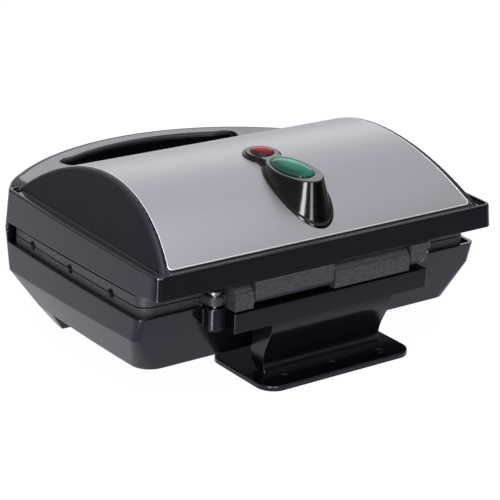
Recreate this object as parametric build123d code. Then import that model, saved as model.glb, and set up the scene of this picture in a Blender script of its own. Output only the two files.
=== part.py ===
from build123d import *
import math
import os

# A two-slice panini press, lying closed on a table. Millimetres.
# X runs along the width, the handle points to -Y, the hinge and the rear stand to +Y, Z is up.
os.makedirs("parts", exist_ok=True)

# ---- sizes that drive everything -------------------------------------------------------------
body_width = 240.0          # lid across its lower corners
side_bow = 1.3              # the long mould lines belly out by this much
lid_front_y = -54.5
lid_rear_y = 110.5
lid_top_z = 80.0            # the handle end of the rim; the rear end is lower
rim_fall = 2.8              # the rim drops by this much from handle to hinge
skirt_front_z = 60.3        # lower edge of the lid's side wall at the handle end
skirt_rear_z = 62.2         # the same edge at the hinge
skirt_wall_z = 63.6         # lower edge of the lid's rear wall, above the hinge
lid_draft = 4.6             # degrees
snug = 0.03                 # clearance of pieces that sit tight together
lid_corner = 6.0            # plan radius at the hinge end
lid_front_corner = 4.0
rim_round = 1.2
cap_round = 2.2             # rounded edge of the black end caps
wall = 2.5                  # moulded wall of both housings
parting_z = 52.8            # plane where the two cooking plates meet
split_z = 55.3              # plane where the handle halves and the front posts meet
hinge_z = 55.3              # the hinge axis lies above the plates' parting plane
hinge_rise = hinge_z - parting_z
post_bevel = 2.4            # sloped edge of the front posts towards the split

base_half_width = 120.6
base_front_y = -50.3
base_rear_y = 94.9
base_rear_foot_y = 85.7     # the rear wall leans in towards the floor
base_top_z = 48.3
base_bottom_z = 12.8
base_front_top_y = -54.5    # the front wall leans out towards its top
base_corner = 5.0
base_floor_corner = 12.0
crease_front_z = 31.0       # where the upright side turns into the slanting one
crease_rear_z = 34.7
base_floor_half_width = 111.2
base_toe_y = -38.4          # front slope meets the floor of the base
leg_half_width = 103.0      # outer side of the front legs at the table
leg_inner = 91.0
leg_toe_y = -31.0
leg_heel_y = -14.0
leg_heel_top_y = -10.0
foot_pad_radius = 4.0
foot_pad_height = 2.0
floor_rib_count = 5
floor_rib_pitch = 30.0
floor_vent_count = 7
floor_vent_pitch = 9.0

dome_radius = 116.0         # the lid is a plain cylinder across the width
dome_axis_y = 24.0
dome_top_z = 107.5
steel_sheet = 0.6
steel_half_top = 96.5       # half length of the steel at the crest
steel_end_slope = 0.37      # how much longer it gets per millimetre down
cap_half_top = 98.6         # black end cap at the crest
cap_end_slope = 0.42
steel_gap = 0.6             # the steel's foot under the rim line
steel_corner = 3.2
channel_floor_z = 72.0      # underside of the lid's top skin inside
rim_depth = 1.8             # step from the rim down to the ledge round the dome
rim_ledge = 2.4
cover_fit = 0.05            # steel to its seat

plate_half_width = 116.8
plate_front_y = -46.2
plate_rear_y = 91.2
plate_corner = 9.0
plate_front_corner = 1.8
plate_height = 9.0          # each casting, from the parting plane to its back
plate_rim = 6.0
plate_web = 3.2
plate_gap = 0.7             # the two rims stand this far apart
grill_rib_pitch = 11.0
grill_rib_height = 2.6
grill_rib_width = 4.0
vent_radius = 2.9           # steam notches in the side rims
vent_pitch = 43.0
vent_middle_y = 18.9

hinge_y = 102.5
knuckle_reach = 7.8         # from the axis to the flat rear face
knuckle_radius = 7.2        # round side of a barrel
knuckle_step = 2.6          # the flat face runs on past the axis by this much
knuckle_long = 54.5
knuckle_short = 12.0
knuckle_gap = 1.0
pin_radius = 2.0
pin_play = 0.05
lug_x = 74.2
lug_y = 98.9
lug_radius = 4.7
lug_low = -4.7              # from the parting plane
lug_high = 0.0
lug_neck_y = 100.8          # rear face of the neck that joins it to the knuckle
lug_spacer = 1.6            # the screw's collar on top of the lug
boss_top_z = 48.7
boss_foot_z = 35.6

handle_radius = 154.8       # plan arc of the handle
handle_axis_y = 38.3
handle_half_chord = 110.0
handle_shoulder = 25.0      # plan radius where the arc turns into the side
handle_set_back = 4.0       # the lower half stands back from the upper one
handle_top_z = 79.0
handle_round = 9.0
handle_low_round = 5.0
handle_split = 0.6          # between the two handle halves
handle_low_z = 41.0
slot_near_y = -72.2
slot_far_y = -104.2
slot_half_width = 66.0
slot_arc = 112.0
front_block_y = -48.6       # the housings meet in front of the plates

bezel_z = 108.7             # flat top of the lamp bezel
bezel_draft = 17.0
green_y = 66.7
green_long = 17.0
green_wide = 9.9
green_rise = 3.5
red_y = 37.6
red_radius = 7.2
red_rise = 2.4
ring_long = 22.0
ring_wide = 12.6
ring_y = 69.0
red_ring = 9.8
bezel_tilt = 3.0            # degrees that the flat top dips towards the hinge
bezel_tilt_y = 40.0
bezel_root_z = 70.0         # the cone is drawn down to here, then cut off at the steel
bezel_wall = 2.2
lens_ledge = 1.6
neck_half_width = 7.0
flange_width = 1.3          # thin lip round the bezel's foot
flange_height = 1.0

stand_rear_y = 122.4
stand_floor = 3.0
stand_half_width = 53.0
stand_front_y = 63.0
stand_corner = 11.0
band_half_width = 68.6
band_rear_y = 110.8
band_top_z = 46.7
band_low_z = 35.2
column_half_width = 43.0
column_foot_half_width = 41.5
stand_wall = 2.4

latch_half_width = 13.0
latch_thick = 3.2
latch_pivot_y = -111.2
latch_pivot_z = 67.0
latch_foot_z = 38.0
latch_top_z = 71.0
latch_ear_half_width = 6.0
latch_ear_radius = 3.0
latch_hook_reach = 8.6      # from the clip's face to the tip of its hook
latch_release = 12.0        # degrees: the clip is drawn let go
latch_play = 0.4
latch_pin_radius = 1.5

screw_head_radius = 3.2
lug_screw_head = 3.85
screw_head_height = 2.0
screw_shank_radius = 1.4
screw_recess = 1.1

lens_seat = 1.2
bezel_post_radius = 2.0
lamp_bracket_z = 80.0
shield_depth = 7.0
shield_sheet = 0.6
post_radius = 4.6
leg_foot_z = 1.0
stand_screw_z = 39.3
stand_hub_radius = 3.6
base_screw_z = 20.0
lid_screw_z = 78.0

pin_blind = 2.5             # metal left at the closed end of the bore
casting_back = -plate_height - plate_gap / 2
hinge_end = knuckle_long + 1.5 * knuckle_gap + knuckle_short
handle_front_y = handle_axis_y - handle_radius
boss_low_z = parting_z - plate_height - 4 - plate_gap / 2
lid_boss_z = parting_z + plate_height + 4 + plate_gap / 2
dome_axis_z = dome_top_z - dome_radius
half_width = body_width / 2


def rim_top(y):
    """Height of the lid's rim: it falls from the handle to the hinge."""
    share = (y - lid_front_y) / (lid_rear_y - lid_front_y)
    return lid_top_z - rim_fall * share


def plan(half, front, rear, radius, bow=side_bow, front_radius=None):
    """Rounded rectangle whose two short sides belly out; its front corners may be tighter."""
    middle = (front + rear) / 2
    with BuildSketch() as outline:
        with BuildLine():
            ThreePointArc((half, front), (half + bow, middle), (half, rear))
            Line((half, rear), (-half, rear))
            ThreePointArc((-half, rear), (-half - bow, middle), (-half, front))
            Line((-half, front), (half, front))
        make_face()
        by_depth = outline.vertices().group_by(Axis.Y)
        fillet(by_depth[-1], radius)
        fillet(outline.vertices().group_by(Axis.Y)[0], front_radius or radius)
    return outline.sketch


def block(x0, x1, y0, y1, z0, z1):
    return Pos((x0 + x1) / 2, (y0 + y1) / 2, (z0 + z1) / 2) * Box(x1 - x0, y1 - y0, z1 - z0)


def rod(x, y, z0, z1, radius):
    return Pos(x, y, (z0 + z1) / 2) * Cylinder(radius, z1 - z0)


def across(profile_points, half):
    """Prism along X from points in the YZ plane."""
    face = make_face(Polyline(*[(0, y, z) for y, z in profile_points], close=True))
    return extrude(face, half, dir=(1, 0, 0), both=True)


def handle_plan(inset=0.0, round_ends=14.0):
    """D-shaped plan of the handle: an arc over a straight chord."""
    radius = handle_radius - inset
    half = handle_half_chord - inset
    tip = handle_axis_y - radius
    side_y = handle_axis_y - math.sqrt(radius**2 - half**2)
    with BuildSketch() as outline:
        with BuildLine():
            ThreePointArc((-half, side_y), (0, tip), (half, side_y))
            Line((half, side_y), (half, lid_front_y + round_ends))
            Line((half, lid_front_y + round_ends), (-half, lid_front_y + round_ends))
            Line((-half, lid_front_y + round_ends), (-half, side_y))
        make_face()
        shoulders = [v for v in outline.vertices() if abs(v.Y - side_y) < 0.01]
        fillet(shoulders, handle_shoulder - inset)
    return outline.sketch


def slot_plan(grow=0.0):
    """Finger slot: straight towards the body, arched towards the grip."""
    half = slot_half_width + grow
    near = slot_near_y + grow
    far = slot_far_y - grow
    side_y = far + slot_arc - math.sqrt(slot_arc**2 - half**2)
    with BuildSketch() as outline:
        with BuildLine():
            ThreePointArc((-half, side_y), (0, far), (half, side_y))
            Line((half, side_y), (half - 3, near))
            Line((half - 3, near), (-half + 3, near))
            Line((-half + 3, near), (-half, side_y))
        make_face()
        fillet(outline.vertices(), 5.0 + grow)
    return outline.sketch


def dome(radius, half_top, slope, floor_z, corner=0.0):
    """Cylinder segment across the width with ends that lean outwards as they go down."""
    drum = Pos(0, dome_axis_y, dome_axis_z) * Rot(0, 90, 0) * Cylinder(radius, 2.4 * half_width)
    keep_half = half_top + slope * (dome_top_z - floor_z)
    crest_half = half_top - slope * 6
    ends = make_face(
        Polyline(
            (-keep_half, 0, floor_z),
            (keep_half, 0, floor_z),
            (crest_half, 0, dome_top_z + 6),
            (-crest_half, 0, dome_top_z + 6),
            close=True,
        )
    )
    if corner:
        ends = fillet(ends.vertices().group_by(Axis.Z)[0], corner)
    return drum & extrude(ends, 2 * dome_radius, dir=(0, 1, 0), both=True)


def pan_screw(length):
    """Cross-head screw, head up, its seat at the origin."""
    head = Pos(0, 0, screw_head_height / 2) * Cylinder(screw_head_radius, screw_head_height)
    head = chamfer(head.edges().group_by(Axis.Z)[-1], 0.8)
    shank = Pos(0, 0, -length / 2) * Cylinder(screw_shank_radius, length)
    bar = Box(2.6 * screw_recess, 0.55 * screw_recess, screw_recess)
    top = Pos(0, 0, screw_head_height - screw_recess / 2)
    return head + shank - top * bar - top * Rot(0, 0, 90) * bar


# ---- cooking plates --------------------------------------------------------------------------
def knuckle(x0, x1, arm_top):
    """Hinge barrel with a square tail on the casting's own side and an arm to the plate."""
    barrel = Pos((x0 + x1) / 2, hinge_y, 0) * Rot(0, 90, 0) * Cylinder(knuckle_radius, x1 - x0)
    rear = hinge_y + knuckle_reach
    tail = block(x0, x1, plate_rear_y - plate_rim, rear, -knuckle_reach, arm_top)
    tail = fillet(tail.edges().filter_by(Axis.X).group_by(Axis.Z)[0].sort_by(Axis.Y)[-1], 1.2)
    cheek = block(x0, x1, hinge_y, rear, -knuckle_reach / 2, knuckle_step)
    cheek = chamfer(cheek.edges().filter_by(Axis.X).group_by(Axis.Z)[-1].sort_by(Axis.Y)[-1], 0.4)
    return barrel + tail + cheek


def lug(side, arm_top):
    """Ear beside the hinge that is screwed down to the housing."""
    ear = rod(side * lug_x, lug_y, lug_low, lug_high, lug_radius)
    low, high = sorted((side * lug_x, side * (hinge_end - 1)))
    ear += block(low, high, plate_rear_y - plate_rim, lug_neck_y, lug_low, lug_high)
    low, high = sorted((side * (lug_x + lug_radius), side * lug_x))
    ear += block(low, high, plate_rear_y - plate_rim, lug_y, lug_low, lug_high)
    return ear - block(-200, 200, 0, plate_rear_y + 0.7, arm_top, 5)


def plate_casting(pin_end, rim_z):
    """Cooking plate with its hinge axis on z = 0 and its rim on rim_z, back downwards.

    The hinge bore runs along X up to pin_end: blind in the lower casting, through in the upper.
    """
    arm_top = rim_z - plate_gap / 2
    rim = plan(plate_half_width, plate_front_y, plate_rear_y, plate_corner, side_bow, plate_front_corner)
    body = extrude(rim, -plate_height)
    body = Pos(0, 0, -plate_gap / 2) * body
    body = chamfer(body.edges().group_by(Axis.Z)[0], 1.2)
    inner_half = plate_half_width - plate_rim
    tray_depth = plate_height - plate_web
    mouth = plan(inner_half, plate_front_y + plate_rim, plate_rear_y - plate_rim, 6.0)
    floor = plan(inner_half - 1, plate_front_y + plate_rim + 1, plate_rear_y - plate_rim - 1, 5.0)
    body -= loft([mouth, Pos(0, 0, -tray_depth) * floor], ruled=True)
    ribs = []
    rib_front = plate_front_y + plate_rim + 8
    rib_rear = plate_rear_y - plate_rim - 8
    count = int((2 * inner_half - 16) // grill_rib_pitch)
    for index in range(count):
        x = (index - (count - 1) / 2) * grill_rib_pitch
        foot = Rectangle(grill_rib_width, rib_rear - rib_front)
        rib = extrude(foot, grill_rib_height + 0.3, taper=15)
        ribs.append(Pos(x, (rib_front + rib_rear) / 2, -tray_depth - 0.3) * rib)
    body += ribs
    outer_half = half_width + 2
    for side in (-1, 1):
        for step in (-1, 0, 1):
            y = vent_middle_y + step * vent_pitch
            notch = Pos(side * outer_half, y, 0) * Rot(0, 90, 0) * Cylinder(vent_radius, 2 * plate_rim + 6)
            body -= notch
    for x, y in plate_screw_spots():
        body += rod(x, y, -plate_height - 4, -plate_height + 0.5, 4.5)
        body -= rod(x, y, -plate_height - 5, -plate_height + 0.2, screw_shank_radius + 0.1)
    seat = element_path_wire()
    body += sweep(Plane(origin=seat @ 0, z_dir=seat % 0) * Circle(5.6), path=seat) & block(
        -half_width, half_width, plate_front_y, plate_rear_y, -plate_height - 4.2, -plate_height + 1
    )
    body -= sweep(Plane(origin=seat @ 0, z_dir=seat % 0) * Circle(3.3), path=seat)
    body = Pos(0, 0, rim_z) * body
    far = knuckle_long + knuckle_gap / 2
    body += knuckle(far + knuckle_gap, far + knuckle_gap + knuckle_short, arm_top)
    body += knuckle(-far, -knuckle_gap / 2, arm_top)
    body += lug(1, arm_top) - rod(lug_x, lug_y, lug_low - 1, lug_high + 1, screw_shank_radius + 0.2)
    bore = Pos((pin_end - 100) / 2, hinge_y, 0) * Rot(0, 90, 0)
    return body - bore * Cylinder(pin_radius + pin_play, pin_end + 100)


def plate_screw_spots():
    """Screws that hold a casting to its housing, from the back."""
    x = plate_half_width - 20
    return [(x, plate_front_y + 14), (-x, plate_front_y + 14), (-x, plate_rear_y - 16)]


def element_path_wire():
    """Centre line of the tubular heater: a flat U that opens towards the hinge."""
    z = -plate_height - 3.4
    x_out = plate_half_width - 38
    front = plate_front_y + 34
    bend = 22.0
    y_end = plate_rear_y - 26
    with BuildLine() as path:
        Line((x_out, y_end, z), (x_out, front + bend, z))
        RadiusArc((x_out, front + bend, z), (x_out - bend, front, z), bend)
        Line((x_out - bend, front, z), (-x_out + bend, front, z))
        RadiusArc((-x_out + bend, front, z), (-x_out, front + bend, z), bend)
        Line((-x_out, front + bend, z), (-x_out, y_end, z))
    return path.wire()


def heater():
    """Sheathed tube with a ceramic-sealed terminal pin at either end."""
    path = element_path_wire()
    tube = sweep(Plane(origin=path @ 0, z_dir=path % 0) * Circle(3.25), path=path)
    x_out = plate_half_width - 38
    z = -plate_height - 3.4
    for side in (-1, 1):
        pin = Pos(side * x_out, plate_rear_y - 26 + 5, z) * Rot(90, 0, 0) * Cylinder(1.6, 10)
        middle = side * x_out
        tab = block(middle - 3.1, middle + 3.1, plate_rear_y - 18, plate_rear_y - 10, z - 0.4, z + 0.4)
        tube += pin + tab
    return tube


def heat_shield():
    """Pressed tray behind a casting that keeps the heat off the moulding."""
    half = plate_half_width - 16
    front = plate_front_y + 6
    rear = plate_rear_y - 13
    tray = extrude(plan(half, front, rear, 16, 0.5), -shield_depth)
    hollow = plan(half - shield_sheet, front + shield_sheet, rear - shield_sheet, 16 - shield_sheet, 0.5)
    tray -= Pos(0, 0, 1) * extrude(hollow, -shield_depth + shield_sheet - 1)
    tray = Pos(0, 0, -plate_height - 4.4) * tray
    for x, y in plate_screw_spots():
        tray -= rod(x, y, -60, 0, post_radius + 1.0)
    for step in (-1, 1):
        bead = Pos(step * half / 2.4, (front + rear) / 2, -plate_height - 4.4 - shield_depth)
        tray += bead * Box(3, 0.6 * (rear - front), 1.4)
    return tray


def thermostat():
    """Snap-disc thermostat pressed against the back of a casting."""
    x, y = 0, plate_front_y + 62
    back = casting_back
    cap = rod(x, y, back - 3.2, back, 8.6)
    case = rod(x, y, back - 8, back - 3.2, 7.4)
    for side in (-1, 1):
        case += block(x + side * 7 - 3.1, x + side * 7 + 3.1, y - 0.4, y + 0.4, back - 9.8, back - 6)
    strap = block(x - 17, x + 17, y - 3.5, y + 3.5, back - 0.8, back)
    return cap + case + strap


def thermal_fuse():
    """One-shot fuse under a bent metal clamp."""
    x, y = 36, plate_front_y + 76
    back = casting_back
    barrel = Pos(x, y, back - 2.6) * Rot(0, 90, 0) * Cylinder(2.2, 12)
    leads = Pos(x, y, back - 2.6) * Rot(0, 90, 0) * Cylinder(0.5, 26)
    strap = block(x - 3, x + 3, y - 3.6, y + 3.6, back - 5.6, back)
    strap -= Pos(x, y, back - 2.6) * Rot(0, 90, 0) * Cylinder(2.1, 30)
    strap += block(x - 3, x + 3, y + 3.6, y + 10, back - 0.8, back)
    return barrel + leads + strap


# ---- base ------------------------------------------------------------------------------------
def base_level(inset, front_z, rear_z, half, front, rear, corner=base_corner):
    """Rounded outline of the base on a level that may tilt from front to rear."""
    tilt = math.degrees(math.atan2(rear_z - front_z, rear - front))
    outline = plan(half - inset, front + inset, rear - inset, corner - inset)
    middle = (front + rear) / 2
    return Pos(0, middle, (front_z + rear_z) / 2) * Rot(tilt, 0, 0) * Pos(0, -middle, 0) * outline


def base_block(inset):
    """Upright walls down to the crease, then sides and front that slant in to the floor."""
    lean = (base_rear_y - base_rear_foot_y) / (base_top_z - base_bottom_z)
    top_rear_y = base_rear_y + lean * (split_z - base_top_z)
    crease_rear_y = base_rear_y - lean * (base_top_z - crease_rear_z)
    top = base_level(inset, split_z, split_z, base_half_width, base_front_top_y, top_rear_y)
    crease = base_level(inset, crease_front_z, crease_rear_z, base_half_width, base_front_y, crease_rear_y)
    low = base_bottom_z + inset
    share = inset / (crease_front_z - base_bottom_z)
    low_half = base_floor_half_width + share * (base_half_width - base_floor_half_width)
    low_front = base_toe_y + share * (base_front_y - base_toe_y)
    low_rear = base_rear_foot_y + lean * inset
    floor = base_level(inset, low, low, low_half, low_front, low_rear, base_floor_corner)
    return loft([top, crease], ruled=True) + loft([crease, floor], ruled=True)


def legs():
    """Two moulded legs that carry on the slanting sides and front to the table."""
    low = base_bottom_z
    corner = base_floor_corner
    floor = base_level(0, low, low, base_floor_half_width, base_toe_y, base_rear_foot_y, corner)
    sole = base_level(0, leg_foot_z, leg_foot_z, leg_half_width, leg_toe_y, base_rear_foot_y, corner)
    side_view = across(
        [
            (base_toe_y - 5, base_bottom_z + wall),
            (leg_toe_y - 5, 0),
            (leg_heel_y, 0),
            (leg_heel_top_y, base_bottom_z + wall),
        ],
        half_width + 5,
    )
    both = loft([floor, sole], ruled=True) & side_view
    both -= block(-leg_inner, leg_inner, base_front_y, base_rear_y, -5, base_top_z)
    for x, y in foot_spots():
        both -= rod(x, y, -1, foot_pad_height, foot_pad_radius)
    return both


def foot_spots():
    y = (leg_toe_y + leg_heel_y) / 2
    x = (leg_inner + leg_half_width) / 2
    return [(x, y), (-x, y)]


def lower_handle():
    top = split_z - handle_split / 2
    grip = extrude(Pos(0, 0, handle_low_z) * handle_plan(handle_set_back), top - handle_low_z)
    grip = fillet(grip.edges().group_by(Axis.Z)[0].sort_by(Axis.Y)[0], handle_low_round)
    grip &= block(-half_width, half_width, handle_front_y - 1, base_front_y + 1, 0, top)
    return grip - extrude(Pos(0, 0, handle_low_z - 1) * slot_plan(), top)


def latch_recess():
    """Pocket in the front of the upper handle half that the clip lies in, deeper at its pivot."""
    half = latch_half_width + latch_play
    ceiling = latch_top_z + 2.5
    deep = latch_pivot_y + 0.8
    front = block(-half, half, handle_front_y - 2, handle_front_y + latch_thick + latch_play, 0, ceiling)
    front += block(-half, half, handle_front_y, deep, latch_pivot_z - 4, ceiling)
    ear_half = latch_ear_half_width + latch_play
    ear_room = latch_ear_radius + 0.8
    rear = latch_pivot_y + ear_room
    return front + block(-ear_half, ear_half, handle_front_y, rear, latch_pivot_z - 5.5, ceiling)


def base_posts(grow, low, high):
    return [rod(x, y, low, high, grow) for x, y in plate_screw_spots()]


def post_bevels(side):
    """Cutters that slope the outer edges of the front posts away from the split, up or down."""
    edge = split_z + side * handle_split / 2
    far = edge + side * (post_bevel + 3)
    front = base_front_top_y
    cutters = []
    for hand in (-1, 1):
        outer = hand * (base_half_width + side_bow + 0.4)
        flank = make_face(
            Polyline(
                (outer - hand * post_bevel * 0.8, 0, edge), (outer + hand * 3, 0, edge),
                (outer + hand * 3, 0, far + side * 2), (outer, 0, edge + side * post_bevel), close=True,
            )
        )
        middle = (front + front_block_y) / 2 - 2
        cutters.append(Pos(0, middle, 0) * extrude(flank, 6, dir=(0, 1, 0), both=True))
        nose = make_face(
            Polyline(
                (0, front + post_bevel * 0.8, edge), (0, front - 3, edge),
                (0, front - 3, far + side * 2), (0, front - 0.3, edge + side * post_bevel), close=True,
            )
        )
        middle = hand * (base_half_width - 4)
        cutters.append(Pos(middle, 0, 0) * extrude(nose, 8, dir=(1, 0, 0), both=True))
    return cutters


def lower_housing():
    shell = base_block(0) - block(-200, 200, front_block_y, 200, base_top_z, 80)
    shell -= block(-200, 200, -200, 200, split_z - handle_split / 2, 80)
    shell -= post_bevels(-1)
    shell += lower_handle()
    shell += legs()
    inside = base_block(wall) & block(-200, 200, base_front_y, 200, 0, base_top_z + 1)
    shell -= inside
    shell += [post & base_block(0) for post in base_posts(post_radius, base_bottom_z, boss_low_z)]
    shell -= base_posts(screw_shank_radius + 0.2, 0, boss_low_z + 1)
    shell -= base_posts(screw_head_radius + 0.5, 0, base_screw_z)
    # the rear wall steps down under the hinge arms and steps in round the screw boss
    shell -= block(-72, 72, base_rear_foot_y - 4, 100, band_top_z, 80)
    notch_low, notch_high = band_half_width + 0.4, lug_x + lug_radius + 1.2
    shell -= block(notch_low, notch_high, base_rear_y - 3, base_rear_y + 5, boss_foot_z - 1, 80)
    shell -= block(notch_low, notch_high, plate_rear_y - 4, base_rear_y + 5, boss_top_z, 80)
    boss = rod(lug_x, lug_y, boss_foot_z, boss_top_z, lug_radius)
    boss += block(lug_x - 2.5, lug_x + 2.5, base_rear_y - 6, lug_y, boss_foot_z, boss_top_z)
    rib_rear = lug_neck_y + 1.5
    boss += block(notch_low, lug_x, rib_rear - 1.4, rib_rear, boss_foot_z, boss_top_z)
    boss += block(notch_low, notch_low + 1.4, base_rear_y - 6, rib_rear, boss_foot_z, boss_top_z)
    boss -= block(60, 90, 0, plate_rear_y + 0.5, parting_z + casting_back - 0.5, 60)
    shell += boss
    shell -= rod(lug_x, lug_y, boss_foot_z + 2.4, 60, screw_shank_radius)
    for x in stand_screw_xs():
        hub = Pos(x, base_rear_y - 8.5, stand_screw_z) * Rot(90, 0, 0) * Cylinder(stand_hub_radius, 9)
        shell += hub & base_block(0)
        hole = Cylinder(screw_shank_radius + 0.2, 30)
        shell -= Pos(x, base_rear_y - 5, stand_screw_z) * Rot(90, 0, 0) * hole
    ground = base_bottom_z + wall
    for index in range(floor_rib_count):
        x = (index - (floor_rib_count - 1) / 2) * floor_rib_pitch
        rib = block(x - 0.9, x + 0.9, base_toe_y + 6, base_rear_foot_y - 6, ground - 0.2, ground + 3)
        shell += rib
    for index in range(floor_vent_count):
        x = (index - (floor_vent_count - 1) / 2) * floor_vent_pitch
        shell -= block(x - 1.5, x + 1.5, -20, 5, base_bottom_z - 1, base_bottom_z + 8)
    return shell


def stand_screw_xs():
    return (-50.0, 0.0, 50.0)


def rear_stand():
    """Hinge-side stand: a box along the wall, a curved blade and a floor plate to wind the lead on."""
    box = block(-band_half_width, band_half_width, base_rear_foot_y - 4, band_rear_y, band_low_z, band_top_z)
    box = fillet(box.edges().filter_by(Axis.Z).sort_by(Axis.Y)[-2:], 0.8)
    hollow = block(
        -band_half_width + stand_wall, band_half_width - stand_wall,
        base_rear_foot_y - 5, band_rear_y - stand_wall, band_low_z - 1, band_top_z - stand_wall,
    )
    box -= hollow
    hub_front, hub_rear = base_rear_foot_y - 4, band_rear_y - 1
    for x in stand_screw_xs():
        hub = Cylinder(stand_hub_radius, hub_rear - hub_front)
        box += Pos(x, (hub_front + hub_rear) / 2, stand_screw_z) * Rot(90, 0, 0) * hub
    rear = band_rear_y
    front = rear - 18.8
    with BuildSketch(Plane.YZ) as side_view:
        with BuildLine():
            Line((rear, band_low_z + 2), (rear, band_low_z))
            Spline((rear, band_low_z), (rear - 2.1, 27), (rear - 8.6, 11), (rear - 6.8, stand_floor - 1))
            Line((rear - 6.8, stand_floor - 1), (rear - 10.5, stand_floor - 1))
            Spline((rear - 10.5, stand_floor - 1), (rear - 20.5, 11), (front, 26), (front, band_low_z + 2))
            Line((front, band_low_z + 2), (rear, band_low_z + 2))
        make_face()
    blade = extrude(side_view.sketch, column_half_width, both=True)
    taper = make_face(
        Polyline(
            (-column_foot_half_width, 0, 0), (column_foot_half_width, 0, 0),
            (column_half_width, 0, band_low_z + 3), (-column_half_width, 0, band_low_z + 3), close=True,
        )
    )
    blade &= extrude(taper, 2 * rear, dir=(0, 1, 0), both=True)
    core_half = column_half_width - stand_wall
    core = block(-core_half, core_half, rear - 30, rear - 11.5, 14, band_low_z + 3)
    blade -= core
    middle = (stand_front_y + stand_rear_y) / 2
    outline = RectangleRounded(2 * stand_half_width, stand_rear_y - stand_front_y, stand_corner)
    floor = extrude(outline, stand_floor)
    floor = fillet(floor.edges().group_by(Axis.Z)[-1], 0.8)
    floor = Pos(0, middle, 0) * floor
    for x in (-34, 0, 34):
        floor -= rod(x, stand_rear_y - 10, stand_floor - 0.3, stand_floor + 1, 2.6)
    body = box + blade + floor
    body -= base_block(0)
    for x in stand_screw_xs():
        body -= Pos(x, band_rear_y - 12, stand_screw_z) * Rot(90, 0, 0) * Cylinder(screw_shank_radius, 20)
    return body


def foot_pads():
    pads = []
    for x, y in foot_spots():
        pad = rod(x, y, 0, foot_pad_height, foot_pad_radius)
        pads.append(chamfer(pad.edges().group_by(Axis.Z)[0], 0.4))
    return Compound(pads)


def terminal_block():
    """Two-way screw terminal on the floor of the base."""
    x, y = 62.0, 55.0
    low = base_bottom_z + wall + 3
    body = block(x - 13, x + 13, y - 8, y + 8, low, low + 11)
    for side in (-1, 1):
        body -= rod(x + side * 6.5, y, low + 5, low + 12, 2.6)
        body -= Pos(x + side * 6.5, y, low + 3.6) * Rot(90, 0, 0) * Cylinder(1.9, 20)
    return body


# ---- lid -------------------------------------------------------------------------------------
def lid_block():
    """Drafted box with the handle moulded on, cut to the falling rim."""
    low = split_z + handle_split / 2
    box = Pos(0, 0, low) * lid_sides(30)
    grip = Pos(0, 0, low) * extrude(handle_plan(), handle_top_z - low)
    grip = fillet(grip.edges().group_by(Axis.Z)[-1].sort_by(Axis.Y)[0], handle_round)
    front_top = rim_top(lid_front_y)
    under_rim = across(
        [(-130, 0), (130, 0), (130, rim_top(130)), (lid_front_y, front_top), (-130, front_top)],
        half_width + 5,
    )
    body = box & under_rim
    body -= post_bevels(1)
    body = fillet(body.edges().filter_by(lambda e: e.center().Z > 74), rim_round)
    return body + grip


def lid_sides(height):
    """Drafted block of the lid: it narrows upwards on all four sides."""
    step = height * math.tan(math.radians(lid_draft))
    half = half_width + 0.4
    foot = plan(half, lid_front_y, lid_rear_y, lid_corner, side_bow, lid_front_corner)
    tight = lid_front_corner - 0.4 * step
    top = plan(half - step, lid_front_y + step, lid_rear_y - step, lid_corner - 0.4 * step, side_bow, tight)
    return loft([foot, Pos(0, 0, height) * top], ruled=True)


def is_cap_arc(place):
    """True for the two arcs where the end caps turn into the dome."""
    return abs(place.X) > cap_half_top - 5 and place.Z > channel_floor_z


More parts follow.
